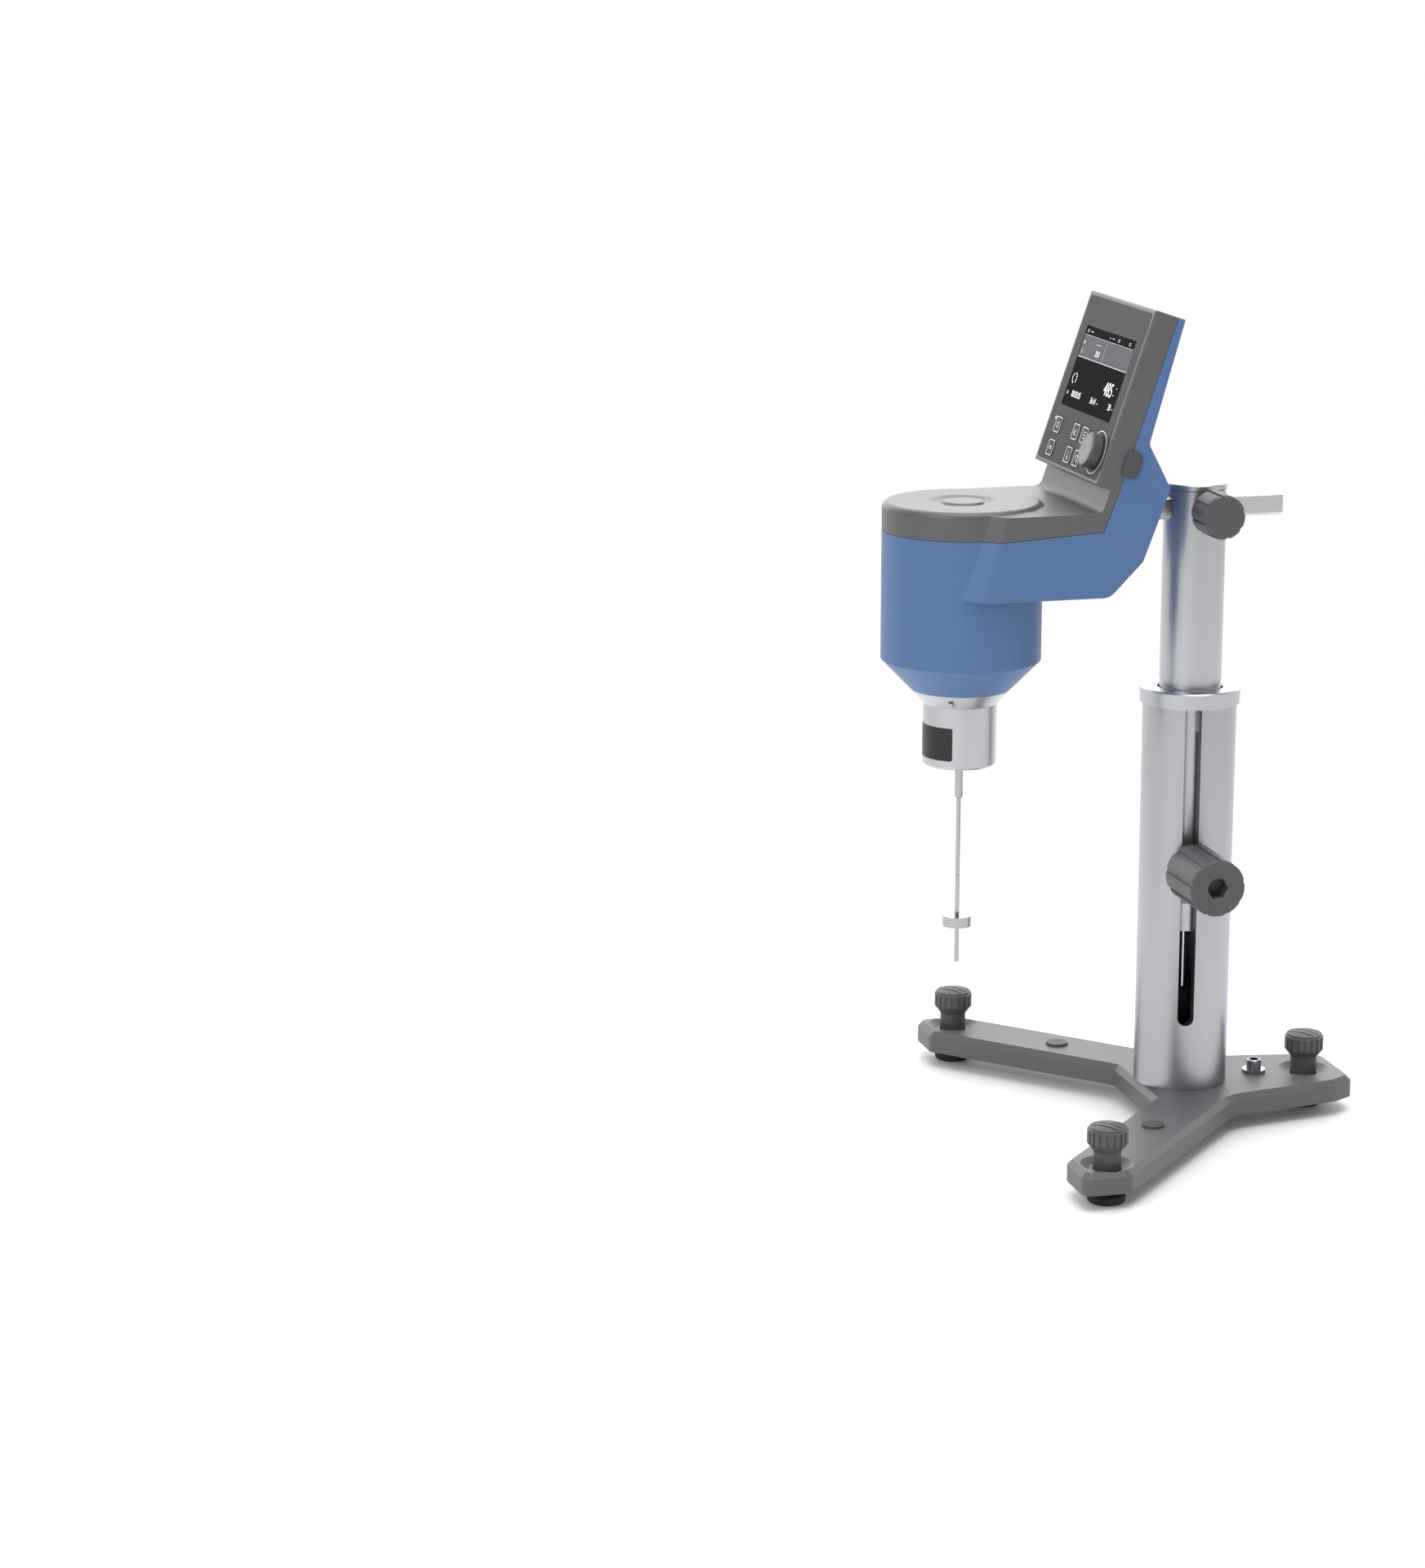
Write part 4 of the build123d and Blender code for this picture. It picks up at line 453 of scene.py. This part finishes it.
def rounded_face(shape, width, height, corner, at=(0, 0)):
    """Adds a flat rectangle with rounded corners to a bmesh."""
    start = Matrix.Translation((at[0], at[1], 0)) @ Matrix.Diagonal((width / 2, height / 2, 1, 1))
    grid = bmesh.ops.create_grid(shape, x_segments=1, y_segments=1, size=1, matrix=start)
    bevelled = bmesh.ops.bevel(
        shape, geom=grid["verts"], offset=corner, segments=4, profile=0.5, affect="VERTICES", material=-1,
    )
    return bevelled["verts"][0].link_faces[0]


def outline(shape, width, height, line, corner, thickness, at=(0, 0)):
    """Adds a rounded rectangle's printed outline to a bmesh."""
    face = rounded_face(shape, width, height, corner, at)
    ring = bmesh.ops.inset_region(
        shape, faces=[face], thickness=line, use_even_offset=True, use_boundary=True,
    )
    bmesh.ops.delete(shape, geom=[face], context="FACES")
    raise_faces(shape, ring["faces"], thickness)


def arc(shape, radius, line, thickness, start=0.0, sweep=math.tau, at=(0, 0), steps=48):
    """Adds a printed stretch of a circle, or a whole ring, to a bmesh."""
    there = set(shape.faces)
    centre, towards = Vector((*at, 0)), Vector((math.cos(start), math.sin(start), 0))
    ends = [shape.verts.new(centre + towards * reach) for reach in (radius - line / 2, radius + line / 2)]
    bmesh.ops.spin(
        shape, geom=[*ends, shape.edges.new(ends)], cent=centre, axis=(0, 0, 1), angle=sweep, steps=steps,
        use_merge=sweep >= math.tau,
    )
    raise_faces(shape, [face for face in shape.faces if face not in there], thickness)


def bar(shape, width, height, thickness, at=(0, 0), turn=0.0):
    """Adds a thin printed bar to a bmesh."""
    place = (
        Matrix.Translation((at[0], at[1], thickness / 2))
        @ Matrix.Rotation(turn, 4, "Z")
        @ Matrix.Diagonal((width, height, thickness, 1))
    )
    bmesh.ops.create_cube(shape, size=1, matrix=place)


def polygon(shape, points, thickness):
    """Adds a thin printed shape with straight sides to a bmesh."""
    face = shape.faces.new([shape.verts.new((x, y, 0)) for x, y in points])
    raise_faces(shape, [face], thickness)


def turned(profile, segments=96):
    """A bmesh turned from a profile of radius and height, closed at the axis."""
    shape = bmesh.new()
    points = [shape.verts.new((reach, 0, rise)) for reach, rise in profile]
    edges = [shape.edges.new(ends) for ends in zip(points, points[1:])]
    bmesh.ops.spin(
        shape, geom=points + edges, cent=(0, 0, 0), axis=(0, 0, 1), angle=math.tau, steps=segments,
        use_merge=True,
    )
    bmesh.ops.remove_doubles(shape, verts=shape.verts, dist=1e-6)
    bmesh.ops.dissolve_degenerate(shape, edges=shape.edges, dist=1e-6)
    return shape


def number_mesh(name, words, size, narrow, matrix):
    """A thin mesh of a lit number, which ends at its place."""
    curve = bpy.data.curves.new(name, "FONT")
    curve.body = words
    curve.size = size
    curve.align_x = "RIGHT"
    curve.align_y = "CENTER"
    curve.extrude = 0.00002
    made = bpy.data.objects.new(name, curve)
    bpy.context.scene.collection.objects.link(made)
    graph = bpy.context.evaluated_depsgraph_get()
    mesh = bpy.data.meshes.new_from_object(made.evaluated_get(graph))
    bpy.data.objects.remove(made)
    mesh.transform(matrix @ Matrix.Diagonal((narrow, 1, 1, 1)))
    mesh.materials.clear()
    mesh.name = name
    return mesh


class VISCOMETER_OT_housing(bpy.types.Operator):
    """Finish the head's shells and the flap in their side"""

    bl_idname = "viscometer.housing"
    bl_label = "Head housing"

    def execute(self, context):
        finish = context.scene.viscometer_finish
        blue = moulded("blue_moulding", finish.blue, roughness=0.46, depth=finish.grain_depth)
        grey = moulded("cover_moulding", finish.cover_grey, roughness=0.4, depth=finish.grain_depth)
        rubber = moulded(
            "flap_rubber", (0.062, 0.064, 0.067), roughness=0.62, size=700, unevenness=0.1,
        )
        dress(blue, "lower_housing")
        dress(grey, "upper_cover")
        dress(rubber, "port_cover")
        return {"FINISHED"}


class VISCOMETER_OT_column(bpy.types.Operator):
    """Finish the telescopic column, its collar and the gas spring seen through its slot"""

    bl_idname = "viscometer.column"
    bl_label = "Column"

    def execute(self, context):
        finish = context.scene.viscometer_finish
        tube = machined("satin_tube", finish.aluminium, roughness=0.34)
        outer = machined("outer_tube_finish", finish.outer_tube, roughness=0.36)
        inside = machined("plain_metal", (0.35, 0.36, 0.37), roughness=0.45)
        bright = machined("spring_rod_steel", (0.6, 0.6, 0.61), roughness=0.16)
        black = moulded("spring_cylinder_paint", (0.015, 0.015, 0.017), roughness=0.35, depth=0.00001)
        plastic = moulded("guide_plastic", (0.45, 0.45, 0.42), roughness=0.55)
        rubber = moulded("bumper_rubber", (0.02, 0.02, 0.02), roughness=0.8, unevenness=0.12)
        dress(outer, "outer_column")
        dress(tube, "inner_column", "column_collar", "column_cap")
        dress(inside, "column_foot", "column_screws", "clamp_nut", "rod_holder")
        dress(bright, "gas_spring_rod")
        dress(black, "gas_spring_cylinder")
        dress(plastic, "guide_bush", "guide_ring", "clamp_saddle")
        dress(rubber, "rod_bumper")
        return {"FINISHED"}


class VISCOMETER_OT_base(bpy.types.Operator):
    """Finish the cast base, its feet, plugs and bush"""

    bl_idname = "viscometer.base"
    bl_label = "Base and feet"

    def execute(self, context):
        finish = context.scene.viscometer_finish
        paint = moulded(
            "powder_coat", finish.base_grey, roughness=0.45, size=420, depth=0.00006, unevenness=0.1,
        )
        screw = moulded("foot_moulding", finish.knob_grey, roughness=0.5, size=800)
        pad = moulded("pad_rubber", (0.022, 0.022, 0.024), roughness=0.75, size=500, unevenness=0.12)
        plug = moulded("plug_moulding", (0.05, 0.052, 0.056), roughness=0.55)
        bush = machined("bush_steel", (0.3, 0.31, 0.33), roughness=0.32, stretch=(60.0, 60.0, 2200.0))
        dress(paint, "base_plate")
        dress(screw, *KNURLED_SCREWS)
        dress(pad, *FOOT_PADS)
        dress(plug, "leg_plugs")
        dress(bush, "accessory_bush")
        return {"FINISHED"}


class VISCOMETER_OT_clamps(bpy.types.Operator):
    """Finish the clamp knobs, their studs and the square rod"""

    bl_idname = "viscometer.clamps"
    bl_label = "Clamps and rod"

    def execute(self, context):
        finish = context.scene.viscometer_finish
        knob = moulded("knob_moulding", finish.knob_grey, roughness=0.5, size=800)
        stud = machined("stud_steel", finish.steel, roughness=0.28, stretch=(2200.0, 60.0, 60.0))
        rod = machined("rod_steel", (0.56, 0.57, 0.58), roughness=0.2, stretch=(1600.0, 50.0, 1600.0))
        dress(knob, "height_clamp_knob", "rod_clamp_knob")
        dress(stud, "height_clamp_stud", "rod_clamp_stud")
        dress(rod, "support_rod", "rod_mount")
        return {"FINISHED"}


class VISCOMETER_OT_measuring(bpy.types.Operator):
    """Finish the bright hub, the shafts, the spindle and the drive inside"""

    bl_idname = "viscometer.measuring"
    bl_label = "Hub, spindle and drive"

    def execute(self, context):
        finish = context.scene.viscometer_finish
        hub = machined("turned_hub", finish.aluminium, roughness=0.3, stretch=TURNED_LINES)
        steel = machined("turned_steel", finish.steel, roughness=0.22, stretch=TURNED_LINES)
        motor = moulded("motor_paint", (0.03, 0.03, 0.032), roughness=0.4)
        brass = machined("drive_brass", (0.6, 0.42, 0.16), roughness=0.3)
        dress(hub, "bearing_housing", "hub_nut", "motor_plate")
        dress(steel, "guard_pin", "spindle_coupling", "spindle", "measuring_shaft", "motor_shaft",
              "ball_bearings", "torsion_spring", "head_screws", "encoder_shaft")
        dress(brass, "drive_disc")
        dress(motor, "motor")
        self.plate(finish)
        return {"FINISHED"}

    def plate(self, finish):
        """A bare black plate, bent round the front of the hub."""
        hub = next(mount for mount in frame["record"]["mounts"] if mount["name"] == "guard_hub")
        radius = hub["dims"]["r_mm"] / 1000  # from millimetres
        low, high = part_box("bearing_housing")
        centre = Vector(((low.x + high.x) / 2, (low.y + high.y) / 2, low.z + finish.plate_rise))
        width, thickness, corner, cuts = radius * finish.plate_angle, 0.0003, 0.0012, 40
        shape = bmesh.new()
        rounded_face(shape, width, finish.plate_height, corner)
        for cut in range(1, cuts):
            bmesh.ops.bisect_plane(
                shape, geom=shape.verts[:] + shape.edges[:] + shape.faces[:],
                plane_co=(width * (cut / cuts - 0.5), 0, 0), plane_no=(1, 0, 0),
            )
        raise_faces(shape, shape.faces[:], thickness)
        for vertex in shape.verts:
            angle, reach = vertex.co.x / radius, radius + vertex.co.z
            vertex.co = (reach * math.sin(angle), -reach * math.cos(angle), vertex.co.y)
        mesh = finished_mesh("hub_plate", shape, Matrix.Translation(centre))
        black = moulded("plate_black", (0.008, 0.008, 0.009), roughness=0.42, size=1600, depth=0.00001)
        piece("hub_plate", mesh, black, "head")


class VISCOMETER_OT_panel(bpy.types.Operator):
    """Finish the control panel, its keys, lamp and turning knob"""

    bl_idname = "viscometer.panel"
    bl_label = "Control panel"

    def execute(self, context):
        finish = context.scene.viscometer_finish
        foil = moulded(
            "panel_foil", finish.panel_grey, roughness=0.56, size=1400, depth=0.00002, shine=0.18,
        )
        board = moulded("board_green", (0.01, 0.08, 0.03), roughness=0.4)
        knob = moulded("menu_knob_moulding", (0.07, 0.072, 0.076), roughness=0.42, size=1100)
        lamp = lit("status_lamp", (0.85, 0.62, 0.03), 1.2)
        socket = moulded("socket_moulding", (0.03, 0.03, 0.032), roughness=0.5)
        dress(foil, "control_panel", *KEY_NAMES)
        dress(board, "switch_board", "main_board")
        dress(knob, "menu_knob")
        dress(lamp, "status_led")
        dress(socket, "power_inlet")
        self.knob_face()
        return {"FINISHED"}

    def knob_face(self):
        """The knob's lighter face: a turned disc with a fine groove near its rim and a centre dimple."""
        left, right = span("menu_knob", PANEL_RIGHT)
        radius = (right - left) / 2
        rim, groove, dimple = radius - 0.0014, radius - 0.0032, 0.0016
        top, foot, depth, line = 0.0003, 0.00002, 0.00016, 0.0004
        shape = turned([
            (0, foot), (rim, foot), (rim, top - depth), (rim - depth, top),
            (groove + line, top), (groove + line / 2, top - depth), (groove - line / 2, top - depth),
            (groove - line, top), (dimple + line, top), (dimple, top - depth), (0, top - depth),
        ])
        mesh = finished_mesh("menu_knob_face", shape, panel_matrix(face_point("menu_knob")))
        disc = moulded("knob_face_moulding", (0.2, 0.202, 0.208), roughness=0.4, size=1500, shine=0.4)
        piece("menu_knob_face", mesh, disc, "menu_knob")


class VISCOMETER_OT_printing(bpy.types.Operator):
    """Print the keys' outlines and signs, and the ring round the turning knob"""

    bl_idname = "viscometer.printing"
    bl_label = "Panel printing"

    def execute(self, context):
        printing = context.scene.viscometer_print
        ink = moulded("white_ink", (0.8, 0.81, 0.82), roughness=0.5, depth=0.00001, shine=0.2)
        side, corner = printing.key_outline, 0.0012
        for name in KEY_NAMES:
            shape = bmesh.new()
            outline(shape, side, side, printing.line_width, corner, printing.thickness)
            self.sign(shape, name, printing)
            mesh = finished_mesh(f"{name}_print", shape, panel_matrix(face_point(name), PRINT_RISE))
            piece(f"{name}_print", mesh, ink, name)
        centre = middle("menu_knob")
        centre += PANEL_OUT * (span("control_panel", PANEL_OUT)[1] - centre.dot(PANEL_OUT))
        shape = bmesh.new()
        arc(shape, printing.ring_diameter / 2, printing.line_width, printing.thickness, steps=96)
        mesh = finished_mesh("knob_ring", shape, panel_matrix(centre, PRINT_RISE))
        piece("knob_ring", mesh, ink, "head")
        return {"FINISHED"}

    def sign(self, shape, name, printing):
        """A plain sign in the middle of a key."""
        size, line, thickness = printing.sign_size, printing.line_width, printing.thickness
        if name == "key_upper_left":
            arc(shape, size / 2, line, thickness, start=math.radians(120), sweep=math.radians(300))
            bar(shape, line, size / 2, thickness, at=(0, size / 2))
        elif name == "key_lower_left":
            outline(shape, size, size * 0.6, line, line, thickness)
        elif name == "key_upper_middle":
            bar(shape, size, line, thickness, at=(0, -size / 2))
            bar(shape, line, size, thickness, at=(-size / 2, 0))
            bar(shape, size, line, thickness, turn=math.radians(35))
        elif name == "key_upper_right":
            for row in (-1, 0, 1):
                bar(shape, size, line, thickness, at=(0, row * size / 2))
        elif name == "key_lower_middle":
            bar(shape, line, size, thickness, at=(0, line))
            arc(shape, size / 4, line, thickness, at=(0, -size / 2), steps=20)
        else:
            arc(shape, size / 2, line, thickness, start=math.radians(-60), sweep=math.radians(260))
            foot = -size / 2
            polygon(shape, [(0, foot - line), (0, foot + line * 2), (size / 3, foot)], thickness)


class VISCOMETER_OT_display(bpy.types.Operator):
    """Light the display: a grey band, thin lines, plain signs and numbers on a dark screen"""

    bl_idname = "viscometer.display"
    bl_label = "Display picture"

    def execute(self, context):
        settings = context.scene.viscometer_display
        black = moulded("display_black", (0.004, 0.004, 0.005), roughness=0.3, depth=0.00001)
        glass = moulded(
            "dark_glass", (0.003, 0.003, 0.004), roughness=0.14, depth=0.000002, shine=0.004,
        )
        dress(black, "display_module")
        dress(glass, "display_glass")
        low, high = span("display_glass", PANEL_RIGHT)
        self.width = high - low
        self.wide = self.width - 0.0008
        low, high = span("display_glass", PANEL_UP)
        self.height = high - low
        self.face = face_point("display_glass")
        self.thickness = 0.00004
        self.white = lit("screen_white", (0.8, 0.82, 0.84), settings.brightness)
        self.band(settings)
        self.lines(settings)
        self.signs()
        self.numbers(settings)
        return {"FINISHED"}

    def at(self, across, down):
        """A place on the screen, from shares of its width and height."""
        return (across - 0.5) * self.width, (0.5 - down) * self.height

    def add(self, name, shape, material, rise, slot):
        """Puts a finished drawing on the screen."""
        mesh = finished_mesh(name, shape, panel_matrix(self.face, rise))
        piece(name, mesh, material, "head")

    def band(self, settings):
        """The grey band under the head row."""
        grey = lit("screen_grey", (0.075, 0.078, 0.085), 0.5)
        shape = bmesh.new()
        height = (settings.band_end - settings.head_row) * self.height
        place = self.at(0.5, (settings.band_end + settings.head_row) / 2)
        bar(shape, self.wide, height, self.thickness, at=place)
        self.add("screen_band", shape, grey, PRINT_RISE, "display_black")

    def lines(self, settings):
        """Thin lines above and below the band, and one that divides it."""
        pale = lit("screen_pale", (0.36, 0.37, 0.39), settings.brightness)
        thin, rise = 0.0003, 0.00008
        shape = bmesh.new()
        bar(shape, self.wide, thin, self.thickness, at=self.at(0.5, settings.head_row))
        bar(shape, self.wide, thin * 2, self.thickness, at=self.at(0.5, settings.band_end))
        upright = (settings.band_end - settings.head_row) * self.height * 0.8
        place = self.at(settings.divider, (settings.band_end + settings.head_row) / 2)
        bar(shape, thin, upright, self.thickness, at=place)
        self.add("screen_lines", shape, pale, rise, "menu_grey")

    def signs(self):
        """Small plain signs: marks in the head row, two in the band, two arrows that turn, and units."""
        rise, thin, small, turn_radius = 0.00008, 0.0004, 0.0018, 0.0034
        shape = bmesh.new()
        head_line = 0.06
        for across in (0.05, 0.68, 0.9):
            place = self.at(across, head_line)
            outline(shape, small * 1.4, small, thin / 2, thin / 2, self.thickness, at=place)
        for across, length in ((0.13, 5), (0.5, 2), (0.57, 3)):
            bar(shape, small * length / 2, thin, self.thickness, at=self.at(across, head_line))
        arc(shape, small / 2, thin, self.thickness, at=self.at(0.045, 0.2), steps=20)
        bar(shape, thin, small * 1.6, self.thickness, at=self.at(0.045, 0.315))
        for across in (0.3, 0.335, 0.37):
            bar(shape, small, thin, self.thickness, at=self.at(across, 0.19))
        place, sweep = self.at(0.085, 0.65), math.radians(130)
        for start in (sweep, sweep + math.pi):
            arc(shape, turn_radius, thin * 1.6, self.thickness, start=start, sweep=sweep, at=place)
        for across, down in ((0.9, 0.69), (0.93, 0.6), (0.965, 0.85), (0.66, 0.85)):
            bar(shape, small, thin, self.thickness, at=self.at(across, down))
        arc(shape, small / 2, thin, self.thickness, at=self.at(0.04, 0.84), steps=20)
        self.add("screen_signs", shape, self.white, rise, "menu_grey")

    def numbers(self, settings):
        """The readings: one large, one in the band and three in the bottom row."""
        rise, narrow = 0.0001, 0.82
        readings = [
            ("reading_large", settings.large_number, 0.0125, (0.87, 0.655)),
            ("reading_upper", settings.upper_number, 0.0052, (0.4, 0.3)),
        ]
        lower = zip(settings.lower_numbers.split(), (0.31, 0.63, 0.93))
        for number, (words, across) in enumerate(lower, start=1):
            readings.append((f"reading_lower_{number}", words, 0.0058, (across, 0.84)))
        for name, words, size, end in readings:
            x, y = self.at(*end)
            place = panel_matrix(self.face, rise) @ Matrix.Translation((x, y, 0))
            mesh = number_mesh(name, words, size, narrow, place)
            piece(name, mesh, self.white, "head")


class VISCOMETER_OT_stage(bpy.types.Operator):
    """Set up the camera, the pale floor and the soft studio light"""

    bl_idname = "viscometer.stage"
    bl_label = "Studio and camera"

    def execute(self, context):
        stage = context.scene.viscometer_stage
        self.camera(context, stage)
        self.floor(stage)
        self.lamps(context, stage)
        self.surroundings(context, stage)
        context.scene.view_settings.view_transform = "Standard"
        return {"FINISHED"}

    def camera(self, context, stage):
        """The photograph's point of view."""
        data = bpy.data.cameras.new("camera")
        data.lens = stage.lens
        data.sensor_width = 36
        data.clip_end = 50
        camera = bpy.data.objects.new("camera", data)
        context.scene.collection.objects.link(camera)
        level = math.cos(stage.elevation)
        east, north = math.sin(stage.azimuth), -math.cos(stage.azimuth)
        back = Vector((east * level, north * level, math.sin(stage.elevation)))
        camera.location = stage.place
        camera.rotation_euler = (-back).to_track_quat("-Z", "Y").to_euler()
        context.scene.camera = camera

    def floor(self, stage):
        """A pale floor that keeps the shadow near the object and turns plain white farther out."""
        shape, half_side = bmesh.new(), 12
        bmesh.ops.create_grid(shape, x_segments=1, y_segments=1, size=half_side)
        mesh = finished_mesh("floor", shape, Matrix.Identity(4))
        made = bpy.data.objects.new("floor", mesh)
        bpy.context.scene.collection.objects.link(made)
        material, shader = principled("floor")
        tree = material.node_tree
        new, link = tree.nodes.new, tree.links.new
        shader.inputs["Base Color"].default_value = (0.93, 0.93, 0.935, 1)
        shader.inputs["Roughness"].default_value = 0.65
        shader.inputs["Emission Color"].default_value = (1, 1, 1, 1)
        path = new("ShaderNodeLightPath")
        lift = new("ShaderNodeMath")
        lift.operation = "MULTIPLY"
        lift.inputs[1].default_value = stage.floor_lift
        link(path.outputs["Is Camera Ray"], lift.inputs[0])
        link(lift.outputs[0], shader.inputs["Emission Strength"])
        place, distance = new("ShaderNodeTexCoord"), new("ShaderNodeVectorMath")
        distance.operation = "LENGTH"
        link(place.outputs["Object"], distance.inputs[0])
        fade = new("ShaderNodeMapRange")
        fade.interpolation_type = "SMOOTHSTEP"
        fade.inputs["From Min"].default_value = stage.floor_reach / 3
        fade.inputs["From Max"].default_value = stage.floor_reach
        link(distance.outputs["Value"], fade.inputs["Value"])
        share = new("ShaderNodeMath")
        share.operation = "MULTIPLY"
        link(fade.outputs["Result"], share.inputs[0])
        link(path.outputs["Is Camera Ray"], share.inputs[1])
        white, both = new("ShaderNodeEmission"), new("ShaderNodeMixShader")
        link(share.outputs[0], both.inputs["Fac"])
        link(shader.outputs["BSDF"], both.inputs[1])
        link(white.outputs["Emission"], both.inputs[2])
        link(both.outputs["Shader"], tree.nodes["Material Output"].inputs["Surface"])
        mesh.materials.append(material)

    def lamps(self, context, stage):
        """Soft boxes left, right and overhead."""
        target = Vector((0, 0, 0.26))
        for name, place, width, height, power in (
            ("key_lamp", (1.4, -1.9, 1.7), 1.6, 1.6, stage.key_power),
            ("fill_lamp", (1.6, 2.0, 1.2), 1.4, 1.8, stage.fill_power),
            ("top_lamp", (0.2, 0.0, 2.4), 2.0, 2.0, stage.top_power),
        ):
            data = bpy.data.lights.new(name, "AREA")
            data.shape = "RECTANGLE"
            data.size = width
            data.size_y = height
            data.energy = power
            lamp = bpy.data.objects.new(name, data)
            context.scene.collection.objects.link(lamp)
            lamp.location = place
            lamp.rotation_euler = (target - Vector(place)).to_track_quat("-Z", "Y").to_euler()

    def surroundings(self, context, stage):
        """Light from all round, brightest behind the object, with a white background for the camera."""
        world = bpy.data.worlds.new("studio")
        context.scene.world = world
        world.use_nodes = True
        tree = world.node_tree
        new, link = tree.nodes.new, tree.links.new
        background = tree.nodes["Background"]
        background.inputs["Color"].default_value = (1, 1, 1, 1)
        place, towards = new("ShaderNodeTexCoord"), new("ShaderNodeVectorMath")
        towards.operation = "DOT_PRODUCT"
        towards.inputs[1].default_value = (-math.sin(stage.azimuth), math.cos(stage.azimuth), 0)
        link(place.outputs["Generated"], towards.inputs[0])
        behind = new("ShaderNodeMapRange")
        behind.interpolation_type = "SMOOTHSTEP"
        side_end, backdrop_start = 0.2, 0.9
        behind.inputs["From Min"].default_value = side_end
        behind.inputs["From Max"].default_value = backdrop_start
        behind.inputs["To Min"].default_value = stage.sky
        behind.inputs["To Max"].default_value = stage.backdrop
        link(towards.outputs["Value"], behind.inputs["Value"])
        path, strength = new("ShaderNodeLightPath"), new("ShaderNodeMix")
        strength.data_type = "FLOAT"
        strength.inputs["B"].default_value = 1
        link(path.outputs["Is Camera Ray"], strength.inputs["Factor"])
        link(behind.outputs["Result"], strength.inputs["A"])
        link(strength.outputs["Result"], background.inputs["Strength"])


class VISCOMETER_PT_panel(bpy.types.Panel):
    """Buttons for each group of pieces, in the order in which they are made"""

    bl_idname = "VISCOMETER_PT_panel"
    bl_label = "Viscometer"
    bl_space_type = "VIEW_3D"
    bl_region_type = "UI"
    bl_category = "Viscometer"

    def draw(self, context):
        for operator in OPERATORS:
            self.layout.operator(operator.bl_idname)
        for settings in SETTINGS:
            group = getattr(context.scene, settings)
            for name in group.bl_rna.properties.keys():
                if name not in ("rna_type", "name"):
                    self.layout.prop(group, name)


OPERATORS = (
    VISCOMETER_OT_housing,
    VISCOMETER_OT_column,
    VISCOMETER_OT_base,
    VISCOMETER_OT_clamps,
    VISCOMETER_OT_measuring,
    VISCOMETER_OT_panel,
    VISCOMETER_OT_printing,
    VISCOMETER_OT_display,
    VISCOMETER_OT_stage,
)
SETTINGS = {
    "viscometer_finish": FinishSettings,
    "viscometer_display": DisplaySettings,
    "viscometer_stage": StageSettings,
    "viscometer_print": PrintSettings,
}


def register():
    for group in SETTINGS.values():
        bpy.utils.register_class(group)
    for name, group in SETTINGS.items():
        setattr(bpy.types.Scene, name, PointerProperty(type=group))
    for operator in OPERATORS:
        bpy.utils.register_class(operator)
    bpy.utils.register_class(VISCOMETER_PT_panel)


def unregister():
    bpy.utils.unregister_class(VISCOMETER_PT_panel)
    for operator in reversed(OPERATORS):
        bpy.utils.unregister_class(operator)
    for name, group in SETTINGS.items():
        delattr(bpy.types.Scene, name)
        bpy.utils.unregister_class(group)


def main():
    """Makes the whole scene."""
    register()
    for operator in OPERATORS:
        group, name = operator.bl_idname.split(".")
        getattr(getattr(bpy.ops, group), name)()


if __name__ == "__main__":
    main()
